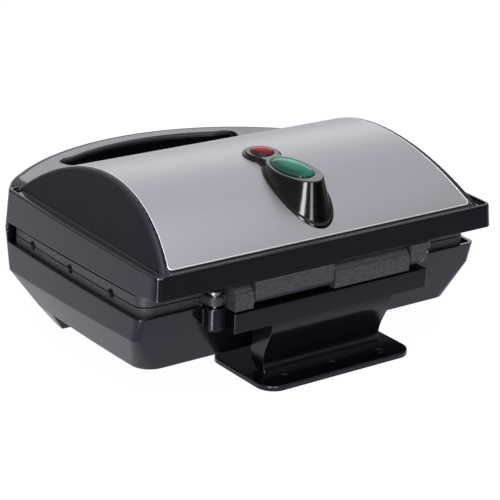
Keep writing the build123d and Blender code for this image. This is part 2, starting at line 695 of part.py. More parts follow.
def upper_housing():
    low = split_z + handle_split / 2
    body = lid_block()
    floor = channel_floor_z
    pocket_half = half_width - 1.0 - rim_ledge
    top_pocket = plan(pocket_half, front_block_y - 2, lid_rear_y - 1.4 - rim_ledge, 3.0)
    ledge_low, ledge_high = rim_top(130) - rim_depth, rim_top(-130) - rim_depth
    ledge = across([(-130, 130), (-130, ledge_high), (130, ledge_low), (130, 130)], half_width + 5)
    body -= Pos(0, 0, floor) * extrude(top_pocket, 30) & ledge
    # side walls stop above the plates, only the handle end reaches down to the base
    far = lid_rear_y + 5
    step_y = plate_rear_y + 3
    under = [(front_block_y, 50), (front_block_y, skirt_front_z), (step_y, skirt_rear_z)]
    body -= across(under + [(step_y + 6, skirt_wall_z), (far, skirt_wall_z), (far, 50)], half_width + 5)
    hood = dome(dome_radius, cap_half_top, cap_end_slope, floor - 1)
    hood = fillet(hood.edges().filter_by(lambda e: e.length > 60 and is_cap_arc(e.center())), cap_round)
    body += hood & block(-200, 200, lid_front_y - 6, 200, floor - 1, 200)
    seat = dome(dome_radius + 1, steel_half_top + 0.3, steel_end_slope, floor) - dome(
        dome_radius - steel_sheet - cover_fit, 130, 0, floor
    )
    body -= seat & steel_zone(0.3)
    cavity = plan(half_width - wall, front_block_y, lid_rear_y - wall, 3.0)
    roof = plan(half_width - wall - 0.6, front_block_y, lid_rear_y - wall - 0.6, 2.6)
    body -= loft([Pos(0, 0, low - 1) * cavity, Pos(0, 0, floor - wall) * roof], ruled=True)
    inner_radius = dome_radius - steel_sheet - cover_fit - wall
    inner = dome(inner_radius, cap_half_top - wall, cap_end_slope, floor - wall - 1)
    body -= inner & block(-200, 200, front_block_y + 4, 104, floor - wall - 1, 200)
    for x, y in plate_screw_spots():
        post = rod(-x, y, lid_boss_z, 100, post_radius)
        body += post & dome(dome_radius - steel_sheet - cover_fit, cap_half_top, cap_end_slope, lid_boss_z - 1)
        body -= rod(-x, y, lid_boss_z - 1, 120, screw_shank_radius + 0.2)
        body -= rod(-x, y, lid_screw_z, 120, screw_head_radius + 0.5)
    ear = rod(-lug_x, lug_y, hinge_z - lug_low + 2.0, 100, lug_radius)
    ear -= block(-90, -60, 0, plate_rear_y + 0.5, 50, parting_z - casting_back + 0.5)
    body += ear & dome(dome_radius - steel_sheet - cover_fit, cap_half_top, cap_end_slope, hinge_z)
    body -= rod(-lug_x, lug_y, 50, floor - wall, screw_shank_radius)
    body -= Pos(0, 0, low - 1) * extrude(slot_plan(), 40)
    body -= bezel_window(0.0)
    for y in bezel_post_ys():
        body -= rod(0, y, 70, 120, bezel_post_radius + 0.3)
    body -= latch_recess()
    pin = Pos(0, latch_pivot_y, latch_pivot_z) * Rot(0, 90, 0)
    return body - pin * Cylinder(latch_pin_radius + snug, 26.2)


def steel_zone(drop):
    """Everything above the foot line of the steel, which follows the rim."""
    lift = steel_gap + drop
    return across(
        [(-130, 200), (-130, rim_top(lid_front_y) - lift), (lid_front_y, rim_top(lid_front_y) - lift),
         (130, rim_top(130) - lift), (130, 200)],
        half_width + 5,
    )


def bezel_window(grow):
    """Openings in the sheet and the moulding that let the lamps shine through."""
    red = rod(0, red_y, 70, 140, red_radius - 1.8 + grow)
    green = Pos(0, green_y, 70) * extrude(Ellipse(green_wide - 1.8 + grow, green_long - 3.5 + grow), 70)
    return red + green


def bezel_post_ys():
    return (47.2, 87.4)


def steel_cover():
    """Sheet bent over the dome, its four corners rounded; the foot is lower at the hinge."""
    rear_foot = rim_top(lid_rear_y) - steel_gap
    front_foot = rim_top(lid_front_y) - steel_gap
    sheet = dome(dome_radius, steel_half_top, steel_end_slope, rear_foot, steel_corner)
    sheet &= block(-200, 200, dome_axis_y, 200, 0, 200)
    front = dome(dome_radius, steel_half_top, steel_end_slope, front_foot, steel_corner)
    sheet += front & block(-200, 200, -200, dome_axis_y, 0, 200)
    sheet -= dome(dome_radius - steel_sheet, 150, 0, 50)
    sheet -= bezel_window(0.2)
    for y in bezel_post_ys():
        sheet -= rod(0, y, 70, 120, bezel_post_radius + 0.3)
    return sheet


def bezel_pose():
    """The bezel's flat top dips a little towards the hinge."""
    pivot = Pos(0, bezel_tilt_y, bezel_z)
    return pivot * Rot(-bezel_tilt, 0, 0) * Pos(0, -bezel_tilt_y, -bezel_z)


def bezel_cone(grow):
    """Elliptic cone with a round head at its front and a neck between the two, all drafted."""
    slope = math.tan(math.radians(bezel_draft))
    long_drop = bezel_z - bezel_root_z
    short_drop = long_drop / 3
    wide, long = ring_wide + grow, ring_long + grow
    top = Pos(0, ring_y, bezel_z) * Ellipse(wide, long)
    foot = Pos(0, ring_y, bezel_root_z) * Ellipse(wide + long_drop * slope, long + long_drop * slope)
    round_top = Pos(0, red_y, bezel_z) * Circle(red_ring + grow)
    round_foot = Pos(0, red_y, bezel_z - short_drop) * Circle(red_ring + grow + short_drop * slope)
    neck_rear = ring_y - ring_long + 8
    neck_y = (red_y + neck_rear) / 2
    neck_wide = 2 * (neck_half_width + grow)
    neck_top = Pos(0, neck_y, bezel_z) * Rectangle(neck_wide, neck_rear - red_y)
    neck_foot = Pos(0, neck_y, bezel_z - short_drop) * Rectangle(
        neck_wide + 2 * short_drop * slope, neck_rear - red_y
    )
    cone = loft([top, foot], ruled=True) + loft([round_top, round_foot], ruled=True)
    return cone + loft([neck_top, neck_foot], ruled=True)


def indicator_bezel():
    """Flat-topped cone that stands upright on the curved steel, with a neck to the small ring."""
    low = bezel_root_z
    pose = bezel_pose()
    body = bezel_cone(0.0)
    body = chamfer(body.edges().group_by(Axis.Z)[-1], 0.5)
    roof = Ellipse(ring_wide - bezel_wall, ring_long - bezel_wall)
    mouth = Ellipse(ring_wide + 7, ring_long + 7)
    hollow = loft([Pos(0, ring_y, bezel_z - 3) * roof, Pos(0, ring_y, low) * mouth], ruled=True)
    body -= hollow & block(-60, 60, green_y - green_long - 2, 120, 0, 200)
    body = pose * body
    posts = [rod(0, y, lamp_bracket_z, bezel_z - 4.5, bezel_post_radius) for y in bezel_post_ys()]
    body += posts
    long_posts = [rod(0, y, lamp_bracket_z, 130, bezel_post_radius) for y in bezel_post_ys()]
    body -= dome(dome_radius + snug, 130, 0, 60) - long_posts
    skin = dome(dome_radius + flange_height, 130, 0, 60) - dome(dome_radius + snug, 130, 0, 50)
    flange = (pose * bezel_cone(flange_width)) & skin
    body += flange - pose * bezel_cone(-2.5)
    seat = bezel_z - lens_seat
    tools = rod(0, red_y, seat, 130, red_radius + 0.05)
    tools += rod(0, red_y, 60, 130, red_radius - lens_ledge)
    tools += Pos(0, green_y, seat) * extrude(Ellipse(green_wide + 0.05, green_long + 0.05), 20)
    tools += Pos(0, green_y, 60) * extrude(Ellipse(green_wide - lens_ledge, green_long - lens_ledge), 80)
    body -= pose * tools
    for y in bezel_post_ys():
        body -= rod(0, y, lamp_bracket_z - 1, lamp_bracket_z + 10, 0.9)
    return body


def lens_outline(wide, long):
    return Ellipse(wide, long) if wide != long else Circle(wide)


def lens(wide, long, rise, y):
    """Domed lens with a short skirt that drops into its seat."""
    steps = 4
    lens_body = extrude(lens_outline(wide, long), lens_seat)
    for index in range(steps):
        tilt = math.radians(72 * index / steps)
        next_tilt = math.radians(72 * (index + 1) / steps)
        size, next_size = math.cos(tilt), math.cos(next_tilt)
        low = Pos(0, 0, lens_seat + rise * math.sin(tilt)) * lens_outline(wide * size, long * size)
        high = Pos(0, 0, lens_seat + rise * math.sin(next_tilt))
        lens_body += loft([low, high * lens_outline(wide * next_size, long * next_size)], ruled=True)
    return bezel_pose() * Pos(0, y, bezel_z - lens_seat) * lens_body


def lamp(y, top):
    """Neon lamp standing on the bracket."""
    glass = rod(0, y, lamp_bracket_z, top, 3.0)
    return fillet(glass.edges().group_by(Axis.Z)[-1], 2.4)


def lamp_bracket():
    plate = block(-9, 9, red_y - 8, bezel_post_ys()[1] + 3.2, lamp_bracket_z - 2, lamp_bracket_z)
    plate = fillet(plate.edges().filter_by(Axis.Z), 3.0)
    for y in (red_y, green_y):
        holder = rod(0, y, lamp_bracket_z, lamp_bracket_z + 6, 4.4)
        plate += holder - rod(0, y, lamp_bracket_z, lamp_bracket_z + 7, 3.05)
    for y in bezel_post_ys():
        plate -= rod(0, y, lamp_bracket_z - 3, lamp_bracket_z + 1, 1.2)
    return plate


# ---- latch -----------------------------------------------------------------------------------
def latch_swing():
    pivot = Pos(0, latch_pivot_y, latch_pivot_z)
    return pivot * Rot(-latch_release, 0, 0) * Pos(0, -latch_pivot_y, -latch_pivot_z)


def latch_clip():
    """Spring clip on the lid that hooks under the lower handle; drawn let go."""
    front = handle_front_y
    half = latch_half_width
    plate = block(-half, half, front, front + latch_thick, latch_foot_z, latch_top_z)
    plate = fillet(plate.edges().filter_by(Axis.Y), 3.0)
    hook = block(-half, half, front, front + latch_hook_reach, latch_foot_z, handle_low_z - 0.6)
    hook = chamfer(hook.edges().filter_by(Axis.X).sort_by(Axis.Y)[-1], 0.8)
    wide, reach = latch_ear_half_width, latch_ear_radius
    ear = block(-wide, wide, front + 1, latch_pivot_y, latch_pivot_z - reach, latch_pivot_z + reach)
    ear += Pos(0, latch_pivot_y, latch_pivot_z) * Rot(0, 90, 0) * Cylinder(reach, 2 * wide)
    grip = [Pos(0, front, z) * Rot(0, 90, 0) * Cylinder(0.7, 20) for z in (44, 47, 50)]
    clip = plate + hook + ear - grip
    clip -= Pos(0, latch_pivot_y, latch_pivot_z) * Rot(0, 90, 0) * Cylinder(latch_pin_radius + pin_play, 40)
    return latch_swing() * clip


def latch_pin():
    return Pos(0, latch_pivot_y, latch_pivot_z) * Rot(0, 90, 0) * Cylinder(latch_pin_radius, 26)


def hinge_pin():
    """Plain pin through all four barrels, driven in from the open end."""
    high = hinge_end - pin_blind - pin_play
    low = -hinge_end + 0.4
    return Pos((low + high) / 2, hinge_y, hinge_z) * Rot(0, 90, 0) * Cylinder(pin_radius, high - low)


# ---- screws ----------------------------------------------------------------------------------
def lug_screw_shape():
    """Larger pan head on a collar, so that the casting can creep under it as it heats."""
    collar = rod(0, 0, 0, lug_spacer, lug_screw_head - 1.3)
    head = rod(0, 0, lug_spacer, lug_spacer + screw_head_height, lug_screw_head)
    head = chamfer(head.edges().group_by(Axis.Z)[-1], 0.7)
    shank = rod(0, 0, -12, 0.1, screw_shank_radius)
    slot = block(-lug_screw_head, lug_screw_head, -0.5, 0.5, lug_spacer + 1.2, lug_spacer + 5)
    return head + collar + shank - slot


def base_plate_screws():
    length = boss_low_z - base_screw_z + 4.0
    screw = Rot(180, 0, 0) * pan_screw(length)
    return Compound([Pos(x, y, base_screw_z) * screw for x, y in plate_screw_spots()])


def lid_plate_screws():
    length = lid_screw_z - lid_boss_z + 4.0
    return Compound([Pos(-x, y, lid_screw_z) * pan_screw(length) for x, y in plate_screw_spots()])


def stand_screws():
    screws = []
    for x in stand_screw_xs():
        screws.append(Pos(x, base_rear_y - 13, stand_screw_z) * Rot(90, 0, 0) * pan_screw(20))
    return Compound(screws)


def bezel_screws():
    screw = Rot(180, 0, 0) * scale(pan_screw(16), 0.6)
    return Compound([Pos(0, y, lamp_bracket_z - 2) * screw for y in bezel_post_ys()])


# ---- build every piece -----------------------------------------------------------------------
lower = Pos(0, 0, parting_z)
upper = Pos(0, 0, parting_z) * Rot(0, 180, 0)
lower_hinge = Pos(0, 0, hinge_z)
upper_hinge = Pos(0, 0, hinge_z) * Rot(0, 180, 0)
lug_screw = Pos(lug_x, lug_y, lug_high) * lug_screw_shape()

pieces = {
    "lower_housing": lower_housing(),
    "rear_stand": rear_stand(),
    "foot_pads": foot_pads(),
    "lower_cooking_plate": lower_hinge * plate_casting(hinge_end - pin_blind, -hinge_rise),
    "lower_heating_element": lower * heater(),
    "lower_heat_shield": lower * heat_shield(),
    "thermal_fuse": lower * thermal_fuse(),
    "terminal_block": terminal_block(),
    "hinge_pin": hinge_pin(),
    "lower_plate_screws": base_plate_screws(),
    "lower_lug_screw": lower_hinge * lug_screw,
    "stand_screws": stand_screws(),
    "upper_housing": upper_housing(),
    "steel_cover": steel_cover(),
    "indicator_bezel": indicator_bezel(),
    "red_lens": lens(red_radius, red_radius, red_rise, red_y),
    "green_lens": lens(green_wide, green_long, green_rise, green_y),
    "red_lamp": lamp(red_y, 102),
    "green_lamp": lamp(green_y, 98),
    "lamp_bracket": lamp_bracket(),
    "bezel_screws": bezel_screws(),
    "upper_cooking_plate": upper_hinge * plate_casting(hinge_end + 1, hinge_rise),
    "upper_heating_element": upper * heater(),
    "upper_heat_shield": upper * heat_shield(),
    "thermostat": upper * thermostat(),
    "upper_plate_screws": lid_plate_screws(),
    "upper_lug_screw": upper_hinge * lug_screw,
    "latch_clip": latch_clip(),
    "latch_pin": latch_pin(),
}

for name, shape in pieces.items():
    shape.label = name
    export_step(shape, f"parts/{name}.step")
    size = shape.bounding_box()
    print(name, "solids", len(shape.solids()), size)
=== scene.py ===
# %% [markdown]
# # A two-slice panini press
#
# The solid model is already packed: every housing, plate, pin and screw comes in as a mesh that
# rides on one of three bodies: the base, the lid and the latch. This lesson dresses it. Each step
# says what the real piece is, how it could be made in Blender, and why it was made this way.

import math

import bmesh
import bpy
from mathutils import Matrix, Vector


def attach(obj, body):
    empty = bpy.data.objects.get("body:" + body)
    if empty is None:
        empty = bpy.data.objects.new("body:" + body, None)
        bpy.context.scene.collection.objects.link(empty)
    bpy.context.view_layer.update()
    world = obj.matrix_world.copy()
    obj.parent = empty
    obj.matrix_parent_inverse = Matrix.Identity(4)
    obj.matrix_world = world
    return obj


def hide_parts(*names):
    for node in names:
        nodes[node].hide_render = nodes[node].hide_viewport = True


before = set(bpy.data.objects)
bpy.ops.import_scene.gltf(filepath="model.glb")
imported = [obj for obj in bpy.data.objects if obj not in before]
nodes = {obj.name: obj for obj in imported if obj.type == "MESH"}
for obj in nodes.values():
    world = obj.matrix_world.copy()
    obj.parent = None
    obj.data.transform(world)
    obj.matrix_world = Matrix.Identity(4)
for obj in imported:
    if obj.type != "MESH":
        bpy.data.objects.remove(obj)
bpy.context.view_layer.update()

# %% [markdown]
# ## Where the viewer stands
#
# The press is seen from behind, so that the hinge and the stand face the viewer and the handle
# points away. A long lens keeps the lid's edges nearly parallel. The aim is worked out from a
# target point, two angles and a distance, and the camera leans by two degrees, as a camera held
# by hand does.

# %% Camera
mm = 0.001
aim = Vector((-7.33, 19.41, 40.24)) * mm
turn = math.radians(143.47)
height = math.radians(20.61)
lean = math.radians(2.1)
reach = 1144.7 * mm
picture_width, focal_length = 500, 1898.8  # both in picture points
back = Vector(
    (math.sin(turn) * math.cos(height), -math.cos(turn) * math.cos(height), math.sin(height))
)
right = (-back).cross(Vector((0, 0, 1))).normalized()
up = right.cross(-back)
leaning_right = right * math.cos(lean) + up * math.sin(lean)
leaning_up = up * math.cos(lean) - right * math.sin(lean)

camera_data = bpy.data.cameras.new("camera")
camera_data.sensor_fit = "HORIZONTAL"
camera_data.sensor_width = 36
camera_data.lens = camera_data.sensor_width * focal_length / picture_width
camera = bpy.data.objects.new("camera", camera_data)
bpy.context.scene.collection.objects.link(camera)
camera.matrix_world = Matrix.Translation(aim + back * reach) @ Matrix(
    (leaning_right, leaning_up, back)
).transposed().to_4x4()
bpy.context.scene.camera = camera
print("camera stands", round(reach, 3), "m away with a", round(camera_data.lens, 1), "mm lens")

# %% [markdown]
# ## Small helpers
#
# Colours are written as the hex values that a screen shows, and one function turns them into the
# linear numbers that shaders work with. A second function adds a shader node, gives it its
# settings and joins its inputs, so that each material reads as a short recipe. The last one puts a
# finished material on pieces of the solid model.


# %% Colour and node helpers
def srgb(code):
    values = [int(code[i : i + 2], 16) / 255 for i in (1, 3, 5)]
    return [v / 12.92 if v <= 0.04045 else ((v + 0.055) / 1.055) ** 2.4 for v in values] + [1.0]


def add(tree, kind, inputs=None, **settings):
    node = tree.nodes.new(kind)
    for name, value in settings.items():
        setattr(node, name, value)
    for socket, value in (inputs or {}).items():
        if isinstance(value, bpy.types.NodeSocket):
            tree.links.new(value, node.inputs[socket])
        else:
            node.inputs[socket].default_value = value
    return node


def start_material(name, **shader_values):
    """A material with one surface shader, and the object's own coordinates to draw patterns with."""
    material = bpy.data.materials.new(name)
    material.use_nodes = True
    tree = material.node_tree
    tree.nodes.clear()
    settings = {label.replace("_", " "): value for label, value in shader_values.items()}
    shader = add(tree, "ShaderNodeBsdfPrincipled", settings)
    add(tree, "ShaderNodeOutputMaterial", {"Surface": shader.outputs["BSDF"]})
    where = add(tree, "ShaderNodeTexCoord").outputs["Object"]
    return material, tree, shader, where


def ramp(tree, factor, stops):
    """Colour stops along a factor, as pairs of place and colour."""
    node = add(tree, "ShaderNodeValToRGB", {"Fac": factor})
    while len(node.color_ramp.elements) < len(stops):
        node.color_ramp.elements.new(0.5)
    for element, (place, colour) in zip(node.color_ramp.elements, stops):
        element.position = place
        element.color = colour
    return node.outputs["Color"]


def scaled(tree, colour, share):
    """A colour made darker by a share from none to one."""
    inputs = {0: colour, "Scale": share}
    return add(tree, "ShaderNodeVectorMath", inputs, operation="SCALE").outputs[0]


def grey(value):
    return (value, value, value, 1.0)


def dress(names, material):
    for name in names:
        if not nodes[name].material_slots:
            nodes[name].data.materials.append(material)
        for slot in nodes[name].material_slots:
            slot.material = material
    print(material.name, "on", ", ".join(names))


# %% [markdown]
# ## Light and floor
#
# The press stands in a white tent. Glossy black plastic shows only what it mirrors, so what stands
# round the press matters more than how strong the lamps are. Four things do the work. White paper
# lies below; in mirrored rays it glows as painted light, brighter on the handle's side and in one
# narrow track. A large soft light stands behind the handle. The surroundings are darker at the
# horizon and on one open side, which keeps the upright black faces black. Two narrow strips behind
# the viewer and the paper's painted track draw the thin upright highlights on every rounded corner.


# %% The surroundings
def cool(value):
    """A grey a touch on the blue side, like daylight lamps."""
    return (value * 0.985, value * 0.985, value * 1.03, 1.0)


def studio_world():
    """White to the eye and through clear plastic; darker near the horizon for mirrored rays."""
    world = bpy.data.worlds.new("white tent")
    bpy.context.scene.world = world
    world.use_nodes = True
    tree = world.node_tree
    tree.nodes.clear()
    way = add(tree, "ShaderNodeTexCoord").outputs["Generated"]
    rise = add(tree, "ShaderNodeSeparateXYZ", {"Vector": way}).outputs["Z"]
    levels = [(0.0, 0.5), (0.05, 0.2), (0.24, 0.5), (0.6, 0.72), (1.0, 0.78)]
    tent = ramp(tree, rise, [(place, cool(level)) for place, level in levels])
    # the tent is open on one side, where only its roof is white
    open_side = (-0.866, 0.5, 0.0)
    side = add(tree, "ShaderNodeVectorMath", {0: way, 1: open_side}, operation="DOT_PRODUCT")
    wall = add(
        tree, "ShaderNodeMapRange",
        {
            "Value": side.outputs["Value"],
            "From Min": 0.3, "From Max": 0.8, "To Min": 1.0, "To Max": 0.2,
        },
    )
    roof = add(tree, "ShaderNodeMapRange", {"Value": rise, "From Min": 0.5, "From Max": 0.72})
    left = add(tree, "ShaderNodeMath", {0: wall.outputs[0], 1: roof.outputs[0]}, operation="MAXIMUM")
    mirrored = scaled(tree, tent, left.outputs[0])
    path = add(tree, "ShaderNodeLightPath")
    seen = add(
        tree, "ShaderNodeMath",
        {0: path.outputs["Is Camera Ray"], 1: path.outputs["Is Transmission Ray"]},
        operation="MAXIMUM",
    )
    soft = add(tree, "ShaderNodeBackground", {"Color": cool(1.0), "Strength": 0.5})
    gloss = add(tree, "ShaderNodeBackground", {"Color": mirrored, "Strength": 1.0})
    white = add(tree, "ShaderNodeBackground", {"Color": grey(1.0), "Strength": 1.0})
    light = add(
        tree, "ShaderNodeMixShader",
        {0: path.outputs["Is Glossy Ray"], 1: soft.outputs[0], 2: gloss.outputs[0]},
    )
    both = add(
        tree, "ShaderNodeMixShader", {0: seen.outputs[0], 1: light.outputs[0], 2: white.outputs[0]}
    )
    add(tree, "ShaderNodeOutputWorld", {"Surface": both.outputs[0]})
    print(world.name, "mirrors from", levels[1][1], "near the horizon to", levels[-1][1], "overhead")


studio_world()


# %% The paper it stands on
# painted light: a narrow track of glow on the paper, seen in mirrored rays only
track_corner = (0.12, 0.11, 0.0)
track_along, track_across = (0.8, 0.6, 0.0), (0.6, -0.8, 0.0)
painted_track_glow = 9.4
seen_share, mirrored_share = 0.9, 0.7


def floor_sheet():
    """White paper that takes a faint shadow; to the eye it is mostly plain white."""
    bpy.ops.mesh.primitive_plane_add(size=8, location=(0, 0, -0.0002))
    floor = bpy.context.object
    floor.name = "floor"
    material = bpy.data.materials.new("white paper sweep")
    material.use_nodes = True
    tree = material.node_tree
    tree.nodes.clear()
    paper = add(tree, "ShaderNodeBsdfDiffuse", {"Color": cool(0.94)})
    path = add(tree, "ShaderNodeLightPath")
    place = add(tree, "ShaderNodeNewGeometry").outputs["Position"]
    # in mirrored rays the paper glows as painted light, bright on the handle's side only ...
    painted_light_level = add(
        tree, "ShaderNodeMapRange",
        {
            "Value": add(tree, "ShaderNodeSeparateXYZ", {"Vector": place}).outputs["Y"],
            "From Min": 0.08, "From Max": 0.26, "To Min": 0.8, "To Max": 0.0,
        },
    )
    # ... and in a narrow track of painted glow that lies in line with the bright strip light
    from_corner = add(
        tree, "ShaderNodeVectorMath", {0: place, 1: track_corner}, operation="SUBTRACT"
    ).outputs[0]
    across = add(
        tree, "ShaderNodeVectorMath", {0: from_corner, 1: track_across}, operation="DOT_PRODUCT"
    )
    away = add(tree, "ShaderNodeMath", {0: across.outputs["Value"]}, operation="ABSOLUTE")
    track = add(
        tree, "ShaderNodeMapRange",
        {
            "Value": away.outputs[0],
            "From Min": 0.012, "From Max": 0.02, "To Min": painted_track_glow, "To Max": 0.0,
        },
    )
    along = add(
        tree, "ShaderNodeVectorMath", {0: from_corner, 1: track_along}, operation="DOT_PRODUCT"
    )
    beyond = add(
        tree, "ShaderNodeMath", {0: along.outputs["Value"], 1: 0.04}, operation="GREATER_THAN"
    )
    painted_glow_level = add(
        tree, "ShaderNodeMath", {0: track.outputs[0], 1: beyond.outputs[0], 2: painted_light_level.outputs[0]},
        operation="MULTIPLY_ADD",
    )
    mirrored = add(
        tree, "ShaderNodeMath",
        {0: painted_glow_level.outputs[0], 1: path.outputs["Is Glossy Ray"]},
        operation="MULTIPLY",
    )
    strength = add(
        tree, "ShaderNodeMath",
        {0: mirrored.outputs[0], 1: path.outputs["Is Camera Ray"]},
        operation="ADD",
    )
    boosted = add(tree, "ShaderNodeMath", {0: strength.outputs[0], 1: 1.1}, operation="MULTIPLY")
    glow = add(tree, "ShaderNodeEmission", {"Color": cool(1.0), "Strength": boosted.outputs[0]})
    glossy = add(
        tree, "ShaderNodeMath",
        {0: path.outputs["Is Glossy Ray"], 1: mirrored_share},
        operation="MULTIPLY",
    )
    share = add(
        tree, "ShaderNodeMath",
        {0: path.outputs["Is Camera Ray"], 1: seen_share, 2: glossy.outputs[0]},
        operation="MULTIPLY_ADD",
    )
    both = add(
        tree, "ShaderNodeMixShader", {0: share.outputs[0], 1: paper.outputs[0], 2: glow.outputs[0]}
    )
    add(tree, "ShaderNodeOutputMaterial", {"Surface": both.outputs[0]})
    floor.data.materials.append(material)
    print(floor.name, "is", round(floor.dimensions.x, 1), "m wide")


floor_sheet()


# %% The lamps
lit_middle = Vector((0, 0.03, 0.07))


def soft_light(name, azimuth, elevation, distance, size, power, mirrored_only=False):
    """A rectangular lamp that looks at the press from an azimuth and a height in degrees."""
    turn, lift = math.radians(azimuth), math.radians(elevation)
    flat = math.cos(lift)
    way = Vector((math.sin(turn) * flat, -math.cos(turn) * flat, math.sin(lift)))
    lamp = bpy.data.lights.new(name, "AREA")
    lamp.shape = "RECTANGLE"
    lamp.size, lamp.size_y = size
    lamp.energy = power
    stand = bpy.data.objects.new(name, lamp)
    bpy.context.scene.collection.objects.link(stand)
    stand.visible_diffuse = not mirrored_only
    stand.location = lit_middle + way * distance
    stand.rotation_euler = way.to_track_quat("Z", "Y").to_euler()
    print(name, "is", size[0], "by", size[1], "m at", power, "W")


soft_light("overhead softbox", 160, 78, 1.3, (1.2, 1.0), 2.6)
soft_light("softbox behind the handle", -36, 21, 1.5, (1.1, 0.34), 1.45)
soft_light("bright strip", 130, 14, 1.5, (0.34, 0.9), 23.0, mirrored_only=True)
soft_light("faint strip", 164, 14, 1.5, (0.3, 0.9), 9.0, mirrored_only=True)
bpy.context.scene.view_settings.view_transform = "Standard"

# %% [markdown]
# ## Moulded black phenolic
#
# Both housings, the clip and the stand are moulded from black phenolic or glass-filled plastic,
# because they stand next to a hot plate. Out of a polished mould it has a satin skin: it mirrors
# softly, with a very fine orange-peel ripple about half a millimetre across, and over the ribs
# inside it the skin sinks in by hundredths of a millimetre, so that reflections wander. A plain
# black shader looks like a hole, so the recipe has four parts: near-black colour with a cool cast,
# with painted shade that darkens it in crevices; a roughness that changes a little from place to
# place; sink marks and ripple in the bump; and edges that catch the light, because no mould corner
# is ever sharp.


# %% Phenolic mouldings
def painted_crevice_shade(tree, reach, darkest):
    """Painted shade in crevices: one in the open, and down to the darkest value where another
    surface is within reach in mm.
    """
    near = add(tree, "ShaderNodeAmbientOcclusion", {"Distance": reach * mm}, samples=6)
    return add(
        tree, "ShaderNodeMapRange",
        {
            "Value": near.outputs["AO"],
            "From Min": 0.3, "From Max": 0.9, "To Min": darkest, "To Max": 1.0,
        },
    ).outputs[0]


def moulded_black(name, colours, roughness, ripple, edge, wave, tint_code="#E5E5FF"):
    """Black moulding: a ripple and sink marks by strength, edges rounded by a radius in mm."""
    colour, lighter = colours
    material, tree, shader, where = start_material(name, Roughness=roughness, IOR=1.6)
    shader.inputs["Specular Tint"].default_value = srgb(tint_code)
    cloud = add(tree, "ShaderNodeTexNoise", {"Vector": where, "Scale": 60.0, "Detail": 3.0})
    tint = ramp(tree, cloud.outputs["Fac"], [(0.3, srgb(colour)), (0.75, srgb(lighter))])
    # painted shade: the colour is darkened in crevices
    tree.links.new(scaled(tree, tint, painted_crevice_shade(tree, 1.5, 0.2)), shader.inputs["Base Color"])
    sheen = add(
        tree, "ShaderNodeMapRange",
        {"Value": cloud.outputs["Fac"], "To Min": roughness - 0.03, "To Max": roughness + 0.05},
    )
    tree.links.new(sheen.outputs["Result"], shader.inputs["Roughness"])
    soft_edge = add(tree, "ShaderNodeBevel", {"Radius": edge * mm}, samples=8)
    sink = add(tree, "ShaderNodeTexNoise", {"Vector": where, "Scale": 1 / (26 * mm), "Detail": 1.0})
    sunk = add(
        tree, "ShaderNodeBump",
        {
            "Strength": wave, "Distance": 0.4 * mm,
            "Height": sink.outputs["Fac"], "Normal": soft_edge.outputs["Normal"],
        },
    )
    peel = add(tree, "ShaderNodeTexNoise", {"Vector": where, "Scale": 1 / (0.5 * mm), "Detail": 2.0})
    bump = add(
        tree, "ShaderNodeBump",
        {
            "Strength": ripple, "Distance": 0.02 * mm,
            "Height": peel.outputs["Fac"], "Normal": sunk.outputs["Normal"],
        },
    )
    tree.links.new(bump.outputs["Normal"], shader.inputs["Normal"])
    return material


phenolic_black = ("#101014", "#18181D")
phenolic = moulded_black(
    "satin black phenolic", phenolic_black, roughness=0.13, ripple=0.25, edge=1.1, wave=0.3
)
gloss_black = moulded_black(
    "gloss black moulding", ("#060606", "#0B0B0B"),
    roughness=0.13, ripple=0.5, edge=0.5, wave=0.5, tint_code="#C0BEC0",
)
stand_black = moulded_black(
    "stand black moulding", ("#050506", "#09090C"), roughness=0.19, ripple=0.18, edge=0.6, wave=0.3
)
dress(["lower_housing", "upper_housing", "latch_clip"], phenolic)
dress(["indicator_bezel"], gloss_black)
dress(["rear_stand"], stand_black)

# %% [markdown]
# ## Brushed stainless steel
#
# The cover is 0.6 mm stainless sheet, brushed before it was bent. The brush lines run along the
# press, and they spread a reflection across themselves. Real lines are finer than a pixel here, so
# the recipe stretches a noise 250 times along the grain and uses it for a little bump and
# roughness, and the shader's anisotropy does what the finest lines do. Along its outline a band
# about half a millimetre wide is painted nearly black: painted shade where the sheet's edge would
# fold down into its seat. The distance to the outline follows from the cover's own rule, so the
# painted shade can be placed with a little arithmetic: the ends lean outwards as they go down, the
# feet are level, and a round corner joins them.


# %% Outline of the cover
drum_radius, drum_y, crest_z = 116.0, 24.0, 107.5
end_half, end_slope = 96.5, 0.37
rear_foot_z, front_foot_z = 76.6, 79.4
sheet_middle = drum_radius - 0.3
corner = 3.2
foot_rate = 1.4  # millimetres along the bent sheet for each millimetre of height, near its feet
print("the cover is", 2 * end_half, "mm wide at its crest, with ends that lean by", end_slope)


def end_x(z):
    return end_half + end_slope * (crest_z - z)


